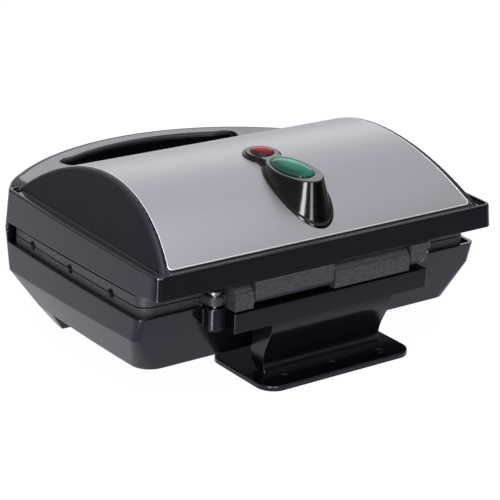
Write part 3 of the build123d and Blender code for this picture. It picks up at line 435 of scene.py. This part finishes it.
def from_outline(tree, where):
    """Distance in mm from the cover's outline, measured inwards, as a shader value."""
    spot = add(tree, "ShaderNodeSeparateXYZ", {"Vector": where})
    x_off = add(tree, "ShaderNodeMath", {0: spot.outputs["X"]}, operation="ABSOLUTE")
    # corner - (end_half + end_slope * (crest_z - z) - |x|), and the same for the feet
    lean = add(
        tree, "ShaderNodeMath", {0: spot.outputs["Z"], 1: end_slope, 2: x_off.outputs[0]},
        operation="MULTIPLY_ADD",
    )
    past_end = add(
        tree, "ShaderNodeMath",
        {0: lean.outputs[0], 1: 1 / mm, 2: corner - end_half - end_slope * crest_z},
        operation="MULTIPLY_ADD",
    )
    rear = add(
        tree, "ShaderNodeMath", {0: spot.outputs["Y"], 1: drum_y * mm}, operation="GREATER_THAN"
    )
    foot = add(
        tree, "ShaderNodeMapRange",
        {"Value": rear.outputs[0], "To Min": front_foot_z, "To Max": rear_foot_z},
    )
    drop = add(
        tree, "ShaderNodeMath",
        {0: spot.outputs["Z"], 1: -foot_rate / mm, 2: corner},
        operation="MULTIPLY_ADD",
    )
    past_foot = add(
        tree, "ShaderNodeMath",
        {0: foot.outputs[0], 1: foot_rate, 2: drop.outputs[0]},
        operation="MULTIPLY_ADD",
    )
    past = add(tree, "ShaderNodeCombineXYZ", {"X": past_end.outputs[0], "Y": past_foot.outputs[0]})
    ways = add(
        tree, "ShaderNodeVectorMath", {0: past.outputs[0], 1: (0.0, 0.0, 0.0)}, operation="MAXIMUM"
    )
    reach = add(tree, "ShaderNodeVectorMath", {0: ways.outputs[0]}, operation="LENGTH")
    inputs = {0: corner, 1: reach.outputs["Value"]}
    return add(tree, "ShaderNodeMath", inputs, operation="SUBTRACT").outputs[0]


# %% Stainless sheet
def soft_skin(tree, shader, edge, grain, strength, depth):
    """Edges rounded by a radius in mm, and a grain on them that stands out by a depth in mm."""
    soft_edge = add(tree, "ShaderNodeBevel", {"Radius": edge * mm}, samples=6)
    bump = add(
        tree, "ShaderNodeBump",
        {
            "Strength": strength, "Distance": depth * mm,
            "Height": grain.outputs["Fac"], "Normal": soft_edge.outputs["Normal"],
        },
    )
    tree.links.new(bump.outputs["Normal"], shader.inputs["Normal"])


def brushed_stainless(name, low_rough, high_rough):
    """Sheet with brush lines along X, whose roughness varies between two values."""
    along, across = 12.0, 3000.0
    material, tree, shader, where = start_material(
        name, Metallic=1.0, Anisotropic=0.3, Roughness=low_rough
    )
    shader.distribution = "MULTI_GGX"
    lines = add(tree, "ShaderNodeMapping", {"Vector": where, "Scale": (along, across, across)})
    grain = add(
        tree, "ShaderNodeTexNoise", {"Vector": lines.outputs[0], "Scale": 1.0, "Detail": 4.0}
    )
    tint = ramp(tree, grain.outputs["Fac"], [(0.3, srgb("#BABABF")), (0.7, srgb("#C0C0C5"))])
    # painted shade: the colour falls to 0.03 in a thin band along the cover's outline
    painted_light_level = add(
        tree, "ShaderNodeMapRange",
        {"Value": from_outline(tree, where), "From Min": 0.55, "From Max": 0.75, "To Min": 0.03},
    )
    tree.links.new(scaled(tree, tint, painted_light_level.outputs[0]), shader.inputs["Base Color"])
    rough = add(
        tree, "ShaderNodeMapRange",
        {"Value": grain.outputs["Fac"], "To Min": low_rough, "To Max": high_rough},
    )
    tree.links.new(rough.outputs["Result"], shader.inputs["Roughness"])
    soft_skin(tree, shader, 0.25, grain, 0.04, 0.01)
    tangent = add(tree, "ShaderNodeTangent", direction_type="RADIAL", axis="X")
    tree.links.new(tangent.outputs[0], shader.inputs["Tangent"])
    return material


stainless = brushed_stainless("brushed stainless sheet", 0.36, 0.42)
dress(["steel_cover"], stainless)

# %% [markdown]
# ## Coated castings
#
# The two cooking plates are pressure-cast aluminium with a dark non-stick coating, sprayed on and
# baked. Up close it is charcoal with fine pale specks, and its skin has a grain like fine emery
# paper. A Voronoi pattern at 0.8 mm gives single specks, and noise breaks them up. Under the lid's
# side walls the castings are stepped back, and a thin dark line of painted shade is drawn on them
# below the wall's edge. In crevices the coating's colour and shine are darkened as painted shade
# too.


# %% Non-stick coating
speck_size, dust_size = 0.8, 0.55
# painted shade: a dark line on the castings just below the edge of the lid's side walls
shade_line_front_y, shade_line_front_z = -48.6, 57.1
shade_line_rear_y, shade_line_rear_z = 98.0, 59.0
shade_line_side_x = 95.0


def nonstick(name):
    material, tree, shader, where = start_material(name, Roughness=0.42, IOR=1.45)
    specks = add(
        tree, "ShaderNodeTexVoronoi",
        {"Vector": where, "Scale": 1 / (speck_size * mm)},
        feature="F1",
    )
    dust = add(
        tree, "ShaderNodeTexNoise", {"Vector": where, "Scale": 1 / (dust_size * mm), "Detail": 3.0}
    )
    body = ramp(tree, dust.outputs["Fac"], [(0.42, srgb("#404046")), (0.6, srgb("#66666E"))])
    dots = ramp(tree, specks.outputs["Distance"], [(0.12, grey(0.7)), (0.24, grey(0.0))])
    mixed = add(
        tree, "ShaderNodeMix",
        {"Factor": dots, "A": body, "B": srgb("#84848C")},
        data_type="RGBA",
    )
    # the painted shade line rises with the wall's edge from the handle to the hinge
    spot = add(tree, "ShaderNodeSeparateXYZ", {"Vector": where})
    edge = add(
        tree, "ShaderNodeMapRange",
        {
            "Value": spot.outputs["Y"], "From Min": shade_line_front_y * mm, "From Max": shade_line_rear_y * mm,
            "To Min": shade_line_front_z * mm, "To Max": shade_line_rear_z * mm,
        },
    )
    above = add(
        tree, "ShaderNodeMath", {0: spot.outputs["Z"], 1: edge.outputs[0]}, operation="GREATER_THAN"
    )
    x_off = add(tree, "ShaderNodeMath", {0: spot.outputs["X"]}, operation="ABSOLUTE")
    side = add(
        tree, "ShaderNodeMath", {0: x_off.outputs[0], 1: shade_line_side_x * mm}, operation="GREATER_THAN"
    )
    both = add(
        tree, "ShaderNodeMath", {0: above.outputs[0], 1: side.outputs[0]}, operation="MULTIPLY"
    )
    keep = add(
        tree, "ShaderNodeMapRange", {"Value": both.outputs[0], "To Min": 1.0, "To Max": 0.02}
    )
    # painted shade: the line and the crevices darken the coating's colour and its shine
    painted_shade_share = add(
        tree, "ShaderNodeMath",
        {0: keep.outputs[0], 1: painted_crevice_shade(tree, 0.8, 0.05)},
        operation="MULTIPLY",
    )
    shaded = scaled(tree, mixed.outputs["Result"], painted_shade_share.outputs[0])
    tree.links.new(shaded, shader.inputs["Base Color"])
    shine = add(tree, "ShaderNodeMath", {0: painted_shade_share.outputs[0], 1: 0.5}, operation="MULTIPLY")
    tree.links.new(shine.outputs[0], shader.inputs["Specular IOR Level"])
    soft_skin(tree, shader, 0.4, dust, 0.6, 0.05)
    return material


coating = nonstick("speckled non-stick coating")
dress(["lower_cooking_plate", "upper_cooking_plate"], coating)

# %% [markdown]
# ## Small metal parts
#
# Screws are zinc-plated steel: bright, a touch blue, slightly cloudy where the plating pooled. The
# hinge pin and the clip's pin are drawn wire, which carries fine lines along its length. The heater
# is a steel-sheathed tube that has turned brown-blue where it was hot, and the two trays behind the
# plates are aluminised sheet with a soft crystalline spangle. All four come from one recipe with a
# cloud of tints and a stretched grain.


# %% Metals
def small_metal(name, tints, roughness, cloud_size, stretch):
    """Bare or plated metal: tints from a cloud of a given size in mm, with a grain along X."""
    grain_size = 0.25
    material, tree, shader, where = start_material(name, Metallic=1.0, Roughness=roughness)
    cloud = add(
        tree, "ShaderNodeTexNoise", {"Vector": where, "Scale": 1 / (cloud_size * mm), "Detail": 3.0}
    )
    stops = [(0.3 + 0.4 * index / (len(tints) - 1), srgb(code)) for index, code in enumerate(tints)]
    tree.links.new(ramp(tree, cloud.outputs["Fac"], stops), shader.inputs["Base Color"])
    fine = 1 / (grain_size * mm)
    lines = add(tree, "ShaderNodeMapping", {"Vector": where, "Scale": (fine / stretch, fine, fine)})
    grain = add(
        tree, "ShaderNodeTexNoise", {"Vector": lines.outputs[0], "Scale": 1.0, "Detail": 2.0}
    )
    rough = add(
        tree, "ShaderNodeMapRange",
        {"Value": grain.outputs["Fac"], "To Min": roughness - 0.06, "To Max": roughness + 0.1},
    )
    tree.links.new(rough.outputs["Result"], shader.inputs["Roughness"])
    soft_skin(tree, shader, 0.15, grain, 0.15, 0.01)
    return material


zinc = small_metal("zinc-plated steel", ["#8E9096", "#A6A8AE", "#989AA2"], 0.28, 3.0, 1.0)
drawn = small_metal("drawn steel wire", ["#8C8C8F", "#A2A2A6"], 0.24, 6.0, 60.0)
tube_tints = ["#5C5148", "#6E665F", "#585C68"]
heater_tube = small_metal("heat-tinted steel tube", tube_tints, 0.38, 9.0, 8.0)
aluminised = small_metal("aluminised sheet", ["#B4B4B2", "#C2C2C0", "#A8A8A8"], 0.34, 4.0, 1.0)
dress(["lower_plate_screws", "upper_plate_screws", "stand_screws", "bezel_screws"], zinc)
dress(["lower_lug_screw", "upper_lug_screw"], zinc)
dress(["hinge_pin", "latch_pin"], drawn)
dress(["lower_heating_element", "upper_heating_element"], heater_tube)
dress(["lower_heat_shield", "upper_heat_shield", "thermal_fuse"], aluminised)

# %% [markdown]
# ## Inner plastics, ceramic and rubber
#
# The switch on the upper plate sits in a pressed cup on a cream ceramic body, the screw terminals
# and the lamp bracket are natural nylon, milky and slightly see-through, and the feet are black
# rubber with a bloom that makes them grey. They are matt, so grain and bloom carry them.


# %% Matt materials
def matt(name, colour, lighter, roughness, grain_size, depth, cloudy=0.0):
    """Cast or moulded matt stuff: colour from a cloud, skin from a grain of a size in mm."""
    material, tree, shader, where = start_material(name, Roughness=roughness, IOR=1.5)
    shader.inputs["Subsurface Weight"].default_value = cloudy
    shader.inputs["Subsurface Scale"].default_value = 1.5 * mm
    cloud = add(tree, "ShaderNodeTexNoise", {"Vector": where, "Scale": 1 / (5 * mm), "Detail": 4.0})
    tint = ramp(tree, cloud.outputs["Fac"], [(0.35, srgb(colour)), (0.7, srgb(lighter))])
    tree.links.new(tint, shader.inputs["Base Color"])
    grain = add(
        tree, "ShaderNodeTexNoise", {"Vector": where, "Scale": 1 / (grain_size * mm), "Detail": 3.0}
    )
    bump = add(
        tree, "ShaderNodeBump",
        {"Strength": 0.5, "Distance": depth * mm, "Height": grain.outputs["Fac"]},
    )
    tree.links.new(bump.outputs["Normal"], shader.inputs["Normal"])
    return material


steatite = matt("glazed steatite ceramic", "#D8D0BC", "#E4DECF", 0.35, 0.8, 0.03)
nylon = matt("natural nylon", "#D9D5C6", "#E6E3D8", 0.45, 0.6, 0.02, cloudy=0.2)
rubber = matt("black rubber", "#161617", "#242426", 0.75, 0.4, 0.05)
dress(["thermostat"], steatite)
dress(["terminal_block", "lamp_bracket"], nylon)
dress(["foot_pads"], rubber)

# %% [markdown]
# ## Neon lamps
#
# Each indicator is a small glass neon tube. Clear glass needs little more than the right refractive
# index; a faint smoky tint at the tip is where the tube was sealed in the flame.


# %% Lamp glass
def lamp_glass(name):
    material, tree, shader, where = start_material(name, Roughness=0.03, IOR=1.5)
    shader.inputs["Transmission Weight"].default_value = 0.9
    swirl = add(tree, "ShaderNodeTexNoise", {"Vector": where, "Scale": 1 / (3 * mm), "Detail": 2.0})
    tint = ramp(tree, swirl.outputs["Fac"], [(0.35, srgb("#F4EFE8")), (0.7, srgb("#E6D9CB"))])
    tree.links.new(tint, shader.inputs["Base Color"])
    ripple = add(
        tree, "ShaderNodeBump",
        {"Strength": 0.1, "Distance": 0.02 * mm, "Height": swirl.outputs["Fac"]},
    )
    tree.links.new(ripple.outputs["Normal"], shader.inputs["Normal"])
    return material


dress(["red_lamp", "green_lamp"], lamp_glass("neon lamp glass"))

# %% [markdown]
# ## The two lenses
#
# Each lens is injection-moulded polycarbonate. It has a low crown and a steep rim, it is dyed
# through, and light that enters the crown is guided out at the rim, where the lens looks deeper.
# The solid model holds a stepped lens; here each one is redrawn as a smooth crown: rings of points,
# each ring a smaller ellipse and a little higher, and the distance from the middle is kept on every
# point as an attribute, so that the material can deepen towards the rim.

# %% Crown of a lens
bezel_tilt = math.radians(3.0)
tilt_y, flat_z, seat_depth = 40.0, 108.7, 1.2
red_y, green_y = 37.6, 66.7


def on_lid(name, mesh):
    """A finished mesh as a piece of its own, which moves with the lid."""
    piece = bpy.data.objects.new(name, mesh)
    bpy.context.scene.collection.objects.link(piece)
    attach(piece, "lid")
    return piece


def on_bezel(x, y, z):
    """A point given on the level bezel, carried along with its slight dip towards the hinge."""
    down = z - flat_z
    along = y - tilt_y
    return Vector(
        (
            x,
            tilt_y + along * math.cos(bezel_tilt) + down * math.sin(bezel_tilt),
            flat_z - along * math.sin(bezel_tilt) + down * math.cos(bezel_tilt),
        )
    ) * mm


def lens_crown(name, node, middle_y, wide, long, rise):
    """A crown on half axes and a rise in mm, with its share of the way out kept as \"rim\"."""
    sides, rings = 72, 20
    shape = bmesh.new()
    edge = shape.verts.layers.float.new("rim")
    levels = [(1.0, -seat_depth, 1.0)]
    for index in range(rings):
        out = math.cos(index / rings * math.pi / 2)
        levels.append((out, rise * (1 - out**2.1) ** 0.6, out))
    rows = []
    for out, height, share in levels:
        row = []
        for side in range(sides):
            angle = 2 * math.pi * side / sides
            x, y = out * wide * math.cos(angle), middle_y + out * long * math.sin(angle)
            vertex = shape.verts.new(on_bezel(x, y, flat_z + height))
            vertex[edge] = share
            row.append(vertex)
        rows.append(row)
    for low, high in zip(rows, rows[1:]):
        for side in range(sides):
            after = (side + 1) % sides
            shape.faces.new((low[side], low[after], high[after], high[side]))
    top = shape.verts.new(on_bezel(0, middle_y, flat_z + rise))
    bottom = shape.verts.new(on_bezel(0, middle_y, flat_z - seat_depth))
    top[edge], bottom[edge] = 0.0, 0.0
    for side in range(sides):
        after = (side + 1) % sides
        shape.faces.new((rows[-1][side], rows[-1][after], top))
        shape.faces.new((rows[0][after], rows[0][side], bottom))
    bmesh.ops.recalc_face_normals(shape, faces=shape.faces)
    for face in shape.faces:
        face.smooth = True
    mesh = bpy.data.meshes.new(name)
    shape.to_mesh(mesh)
    shape.free()
    piece = on_lid(name, mesh)
    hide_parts(node)
    print(name, "is", 2 * wide, "by", 2 * long, "mm, crown", rise, "mm high")
    return piece


red_crown = lens_crown("red_lens_crown", "red_lens", red_y, 7.2, 7.2, 2.35)
green_crown = lens_crown("green_lens_crown", "green_lens", green_y, 9.9, 17.0, 3.5)

# %% [markdown]
# ## Dyed polycarbonate
#
# Polycarbonate bends light strongly, at an index of 1.58. About a third of the light goes through
# it, and the rest comes back from the dye. The colour is painted from pale in the crown to deep at
# the rim, where light guided through the plastic makes it look deeper, with one painted bright line
# just inside the rim, where the guided light leaves. Painted shade keeps the rim's wall deep on the
# +X side of the lens.


# %% Lens material
def dyed_polycarbonate(name, pale, middle, deep, bright):
    material, tree, shader, where = start_material(name, Roughness=0.1, IOR=1.58)
    shader.inputs["Transmission Weight"].default_value = 0.3
    shader.inputs["Specular IOR Level"].default_value = 0.1
    share = add(tree, "ShaderNodeAttribute", attribute_name="rim").outputs["Fac"]
    # painted light: pale crown, deep rim and a painted line of guided light just inside the rim
    stops = [(0.0, pale), (0.6, middle), (0.9, bright), (0.96, middle), (1.0, deep)]
    tint = ramp(tree, share, [(place, srgb(code)) for place, code in stops])
    depths = [(0.6, 0.0), (0.8, 1.0), (0.93, 0.9), (1.0, 0.3)]
    band = ramp(tree, share, [(place, grey(depth)) for place, depth in depths])
    # painted shade: the rim's wall is kept deep on the +X side
    spot = add(tree, "ShaderNodeSeparateXYZ", {"Vector": where})
    flank = add(
        tree, "ShaderNodeMapRange",
        {"Value": spot.outputs["X"], "From Min": -1 * mm, "From Max": 6 * mm, "To Max": 0.85},
    )
    shadow = add(tree, "ShaderNodeMath", {0: band, 1: flank.outputs[0]}, operation="MULTIPLY")
    sided = add(
        tree, "ShaderNodeMix",
        {"Factor": shadow.outputs[0], "A": tint, "B": srgb(deep)},
        data_type="RGBA",
    )
    tree.links.new(sided.outputs["Result"], shader.inputs["Base Color"])
    flow = add(tree, "ShaderNodeTexNoise", {"Vector": where, "Scale": 1 / (4 * mm), "Detail": 2.0})
    ripple = add(
        tree, "ShaderNodeBump",
        {"Strength": 0.12, "Distance": 0.05 * mm, "Height": flow.outputs["Fac"]},
    )
    tree.links.new(ripple.outputs["Normal"], shader.inputs["Normal"])
    return material


green_plastic = dyed_polycarbonate("green polycarbonate", "#28BE9E", "#159C80", "#0B4A40", "#12A886")
red_plastic = dyed_polycarbonate("red polycarbonate", "#D42834", "#B81C28", "#3E0A0E", "#8E1620")
red_crown.data.materials.append(red_plastic)
green_crown.data.materials.append(green_plastic)
dress(["red_lens"], red_plastic)
dress(["green_lens"], green_plastic)

# %% [markdown]
# ## Prisms under the lenses
#
# The underside of such a lens is moulded as a field of tiny pyramids, which scatter the lamp's light
# so that no single bright spot shows. A field that repeats is a job for Geometry Nodes: a grid of
# points, the points outside an ellipse deleted, a four-sided cone on each of the others.


# %% A field of prisms
prism_pitch, prism_depth = 1.1, 0.6


def prism_tree():
    """Pyramids on a grid, kept where they lie inside an ellipse."""
    tree = bpy.data.node_groups.new("prism field", "GeometryNodeTree")
    face = tree.interface
    face.new_socket("Geometry", in_out="OUTPUT", socket_type="NodeSocketGeometry")
    for label in ("Half Width", "Half Length", "Pitch", "Depth"):
        face.new_socket(label, in_out="INPUT", socket_type="NodeSocketFloat")
    face.new_socket("Finish", in_out="INPUT", socket_type="NodeSocketMaterial")
    given = add(tree, "NodeGroupInput").outputs
    size, squares = {}, []
    place = add(tree, "GeometryNodeInputPosition").outputs[0]
    spot = add(tree, "ShaderNodeSeparateXYZ", {"Vector": place})
    for axis, half in (("X", given["Half Width"]), ("Y", given["Half Length"])):
        full = add(tree, "ShaderNodeMath", {0: half, 1: 2.0}, operation="MULTIPLY").outputs[0]
        count = add(tree, "ShaderNodeMath", {0: full, 1: given["Pitch"]}, operation="DIVIDE")
        size["Size " + axis], size["Vertices " + axis] = full, count.outputs[0]
        part = add(
            tree, "ShaderNodeMath", {0: spot.outputs[axis], 1: half}, operation="DIVIDE"
        ).outputs[0]
        squares.append(add(tree, "ShaderNodeMath", {0: part, 1: part}, operation="MULTIPLY"))
    grid = add(tree, "GeometryNodeMeshGrid", size)
    reach = add(
        tree, "ShaderNodeMath", {0: squares[0].outputs[0], 1: squares[1].outputs[0]}, operation="ADD"
    )
    outside = add(tree, "ShaderNodeMath", {0: reach.outputs[0], 1: 1.0}, operation="GREATER_THAN")
    points = add(tree, "GeometryNodeMeshToPoints", {"Mesh": grid.outputs["Mesh"]})
    kept = add(
        tree, "GeometryNodeDeleteGeometry",
        {"Geometry": points.outputs["Points"], "Selection": outside.outputs[0]},
        domain="POINT",
    )
    foot = add(tree, "ShaderNodeMath", {0: given["Pitch"], 1: 0.68}, operation="MULTIPLY").outputs[0]
    cone = add(
        tree, "GeometryNodeMeshCone",
        {"Vertices": 4, "Radius Top": 0.0, "Radius Bottom": foot, "Depth": given["Depth"]},
    )
    placed = add(
        tree, "GeometryNodeInstanceOnPoints",
        {"Points": kept.outputs["Geometry"], "Instance": cone.outputs["Mesh"],
         "Rotation": (math.pi, 0.0, math.pi / 4)},
    )
    real = add(tree, "GeometryNodeRealizeInstances", {"Geometry": placed.outputs["Instances"]})
    painted = add(
        tree, "GeometryNodeSetMaterial",
        {"Geometry": real.outputs["Geometry"], "Material": given["Finish"]},
    )
    add(tree, "NodeGroupOutput", {"Geometry": painted.outputs["Geometry"]})
    return tree


# %% Bake a tree to a plain mesh
def grown(name, tree, values, start=None):
    """Runs a Geometry Nodes tree on a start mesh with the named values; returns a plain mesh."""
    start = start or bpy.data.meshes.new(name + " start")
    carrier = bpy.data.objects.new(name + " carrier", start)
    bpy.context.scene.collection.objects.link(carrier)
    modifier = carrier.modifiers.new("tree", "NODES")
    modifier.node_group = tree
    for socket in tree.interface.items_tree:
        if socket.item_type == "SOCKET" and socket.in_out == "INPUT" and socket.name in values:
            modifier[socket.identifier] = values[socket.name]
    bpy.context.view_layer.update()
    ready = carrier.evaluated_get(bpy.context.evaluated_depsgraph_get())
    mesh = bpy.data.meshes.new_from_object(ready)
    mesh.name = name
    bpy.data.objects.remove(carrier)
    return mesh


def prism_field(name, middle_y, wide, long, finish):
    values = {
        "Half Width": wide * mm, "Half Length": long * mm,
        "Pitch": prism_pitch * mm, "Depth": prism_depth * mm, "Finish": finish,
    }
    mesh = grown(name, prisms, values)
    for vertex in mesh.vertices:
        x, y, z = vertex.co / mm
        # the points hang just clear of the lens's seat
        vertex.co = on_bezel(x, y + middle_y, z + flat_z - seat_depth - prism_depth - 0.05)
    piece = on_lid(name, mesh)
    print(name, "has", len(mesh.polygons), "faces")


prisms = prism_tree()
prism_field("red_lens_prisms", red_y, 5.0, 5.0, red_plastic)
prism_field("green_lens_prisms", green_y, 7.6, 14.6, green_plastic)

# %% [markdown]
# ## The rolled edge of the cover
#
# Where the sheet folds down, the tool leaves a polished roll that catches the light as one thin
# bright line all round the cover. It follows a path, so Geometry Nodes sweep a small circle along
# it. The path keeps nine tenths of a millimetre inside the outline that the shade above used.

# %% Path of the roll
def outline_points(inset):
    """One closed loop inside the sheet's outline by the inset, at the middle of its thickness."""
    steps = 160
    drum_z = crest_z - drum_radius
    bend, lift = corner - inset, inset / foot_rate
    low = math.asin((rear_foot_z + lift - drum_z) / sheet_middle)
    far = math.pi - math.asin((front_foot_z + lift - drum_z) / sheet_middle)
    points = []
    for hand in (1, -1):
        for step in range(steps + 1):
            # closer steps near the feet, where the corners are
            share = 0.5 - 0.5 * math.cos(math.pi * step / steps)
            angle = low + (far - low) * (share if hand == 1 else 1 - share)
            y = drum_y + sheet_middle * math.cos(angle)
            z = drum_z + sheet_middle * math.sin(angle)
            foot = (rear_foot_z if y > drum_y else front_foot_z) + lift
            rise = (z - foot) * foot_rate
            pull = 0.0
            if rise < bend:
                pull = bend - math.sqrt(max(0.0, bend**2 - (bend - rise) ** 2))
            points.append(Vector((hand * (end_x(z) - inset - pull), y, z)) * mm)
    return points


# %% Sweep a bead along it
def bead_tree():
    """A round bead along the path that it is given."""
    tree = bpy.data.node_groups.new("rolled edge", "GeometryNodeTree")
    face = tree.interface
    face.new_socket("Geometry", in_out="INPUT", socket_type="NodeSocketGeometry")
    face.new_socket("Geometry", in_out="OUTPUT", socket_type="NodeSocketGeometry")
    face.new_socket("Radius", in_out="INPUT", socket_type="NodeSocketFloat")
    face.new_socket("Finish", in_out="INPUT", socket_type="NodeSocketMaterial")
    given = add(tree, "NodeGroupInput").outputs
    path = add(tree, "GeometryNodeMeshToCurve", {"Mesh": given["Geometry"]})
    ring = add(
        tree, "GeometryNodeCurvePrimitiveCircle", {"Resolution": 10, "Radius": given["Radius"]}
    )
    tube = add(
        tree, "GeometryNodeCurveToMesh",
        {"Curve": path.outputs["Curve"], "Profile Curve": ring.outputs["Curve"]},
    )
    smooth = add(tree, "GeometryNodeSetShadeSmooth", {"Geometry": tube.outputs["Mesh"]})
    real = add(tree, "GeometryNodeRealizeInstances", {"Geometry": smooth.outputs["Geometry"]})
    painted = add(
        tree, "GeometryNodeSetMaterial",
        {"Geometry": real.outputs["Geometry"], "Material": given["Finish"]},
    )
    add(tree, "NodeGroupOutput", {"Geometry": painted.outputs["Geometry"]})
    return tree


def rolled_edge(name, radius, inset, finish):
    points = outline_points(inset)
    path = bpy.data.meshes.new(name + " path")
    path.from_pydata(points, [(i, (i + 1) % len(points)) for i in range(len(points))], [])
    mesh = grown(name, bead_tree(), {"Radius": radius * mm, "Finish": finish}, path)
    shape = bmesh.new()
    shape.from_mesh(mesh)
    bmesh.ops.remove_doubles(shape, verts=shape.verts, dist=1e-6)
    bmesh.ops.recalc_face_normals(shape, faces=shape.faces)
    shape.to_mesh(mesh)
    shape.free()
    piece = on_lid(name, mesh)
    print(name, "has", len(mesh.polygons), "faces")


edge_steel = small_metal("rolled stainless edge", ["#F4F4F6", "#FCFCFE"], 0.5, 6.0, 20.0)
rolled_edge("cover_rolled_edge", 0.42, 0.9, edge_steel)

# %% [markdown]
# ## The inner side of the grip
#
# Fingers close round the handle from inside its slot, so that side of the grip is a full, rounded
# roll. It follows the handle's own arc: the same section is turned about the middle of that arc, and
# towards both ends of the slot it sinks back into the slot's wall. The section is level with the
# handle's top and rounded above and below. Its rounds are in the mesh, so its phenolic rounds no
# edges by itself, which would draw a groove where the roll meets the handle's top.


# %% Turn the grip's section
rounded_phenolic = moulded_black(
    "rounded black phenolic", phenolic_black, roughness=0.13, ripple=0.25, edge=0.02, wave=0.3
)


def grip_roll(name):
    centre_y, slot_centre_y, slot_radius = 38.3, 7.8, 112.0
    # the top lies a hair above the handle's, so that the two don't flicker through each other
    inner, top, bottom, bend = 134.5, 79.004, 64.0, 3.2
    gap_y = centre_y - slot_centre_y
    shape = bmesh.new()
    rows = []
    steps, sweep = 96, math.radians(29.5)
    for step in range(steps + 1):
        turn = -sweep + 2 * sweep * step / steps
        wall = gap_y * math.cos(turn) + math.sqrt(slot_radius**2 - (gap_y * math.sin(turn)) ** 2)
        fade = min(1.0, max(0.0, (sweep - abs(turn)) / math.radians(7)))
        fade = fade * fade * (3 - 2 * fade)
        front = wall + 0.3 + (inner - wall - 0.3) * fade
        buried = max(wall + 2.6, front + bend + 0.2)
        section = [(buried, top), (front + bend, top)]
        for part in range(1, 9):
            angle = math.pi / 2 * part / 8
            over, down = bend * (1 - math.sin(angle)), bend * (1 - math.cos(angle))
            section.append((front + over, top - down))
        for part in range(9):
            angle = math.pi / 2 * part / 8
            over, rise = bend * (1 - math.cos(angle)), bend * (1 - math.sin(angle))
            section.append((front + over, bottom + rise))
        section.append((buried, bottom))
        rows.append(
            [
                shape.verts.new(Vector((r * math.sin(turn), centre_y - r * math.cos(turn), z)) * mm)
                for r, z in section
            ]
        )
    count = len(rows[0])
    for one, other in zip(rows, rows[1:]):
        for index in range(count):
            after = (index + 1) % count
            shape.faces.new((one[index], one[after], other[after], other[index]))
    shape.faces.new(rows[0])
    shape.faces.new(rows[-1])
    bmesh.ops.recalc_face_normals(shape, faces=shape.faces)
    for face in shape.faces:
        face.smooth = True
    for side in shape.edges:
        side.smooth = side.calc_face_angle(0.0) < math.radians(40)
    mesh = bpy.data.meshes.new(name)
    shape.to_mesh(mesh)
    shape.free()
    mesh.materials.append(rounded_phenolic)
    piece = on_lid(name, mesh)
    print(name, "has", len(mesh.polygons), "faces")


grip_roll("grip_inner_roll")

# %% [markdown]
# ## Last update
#
# What was added may not reach past the solid model.

# %% Finish
bpy.context.view_layer.update()
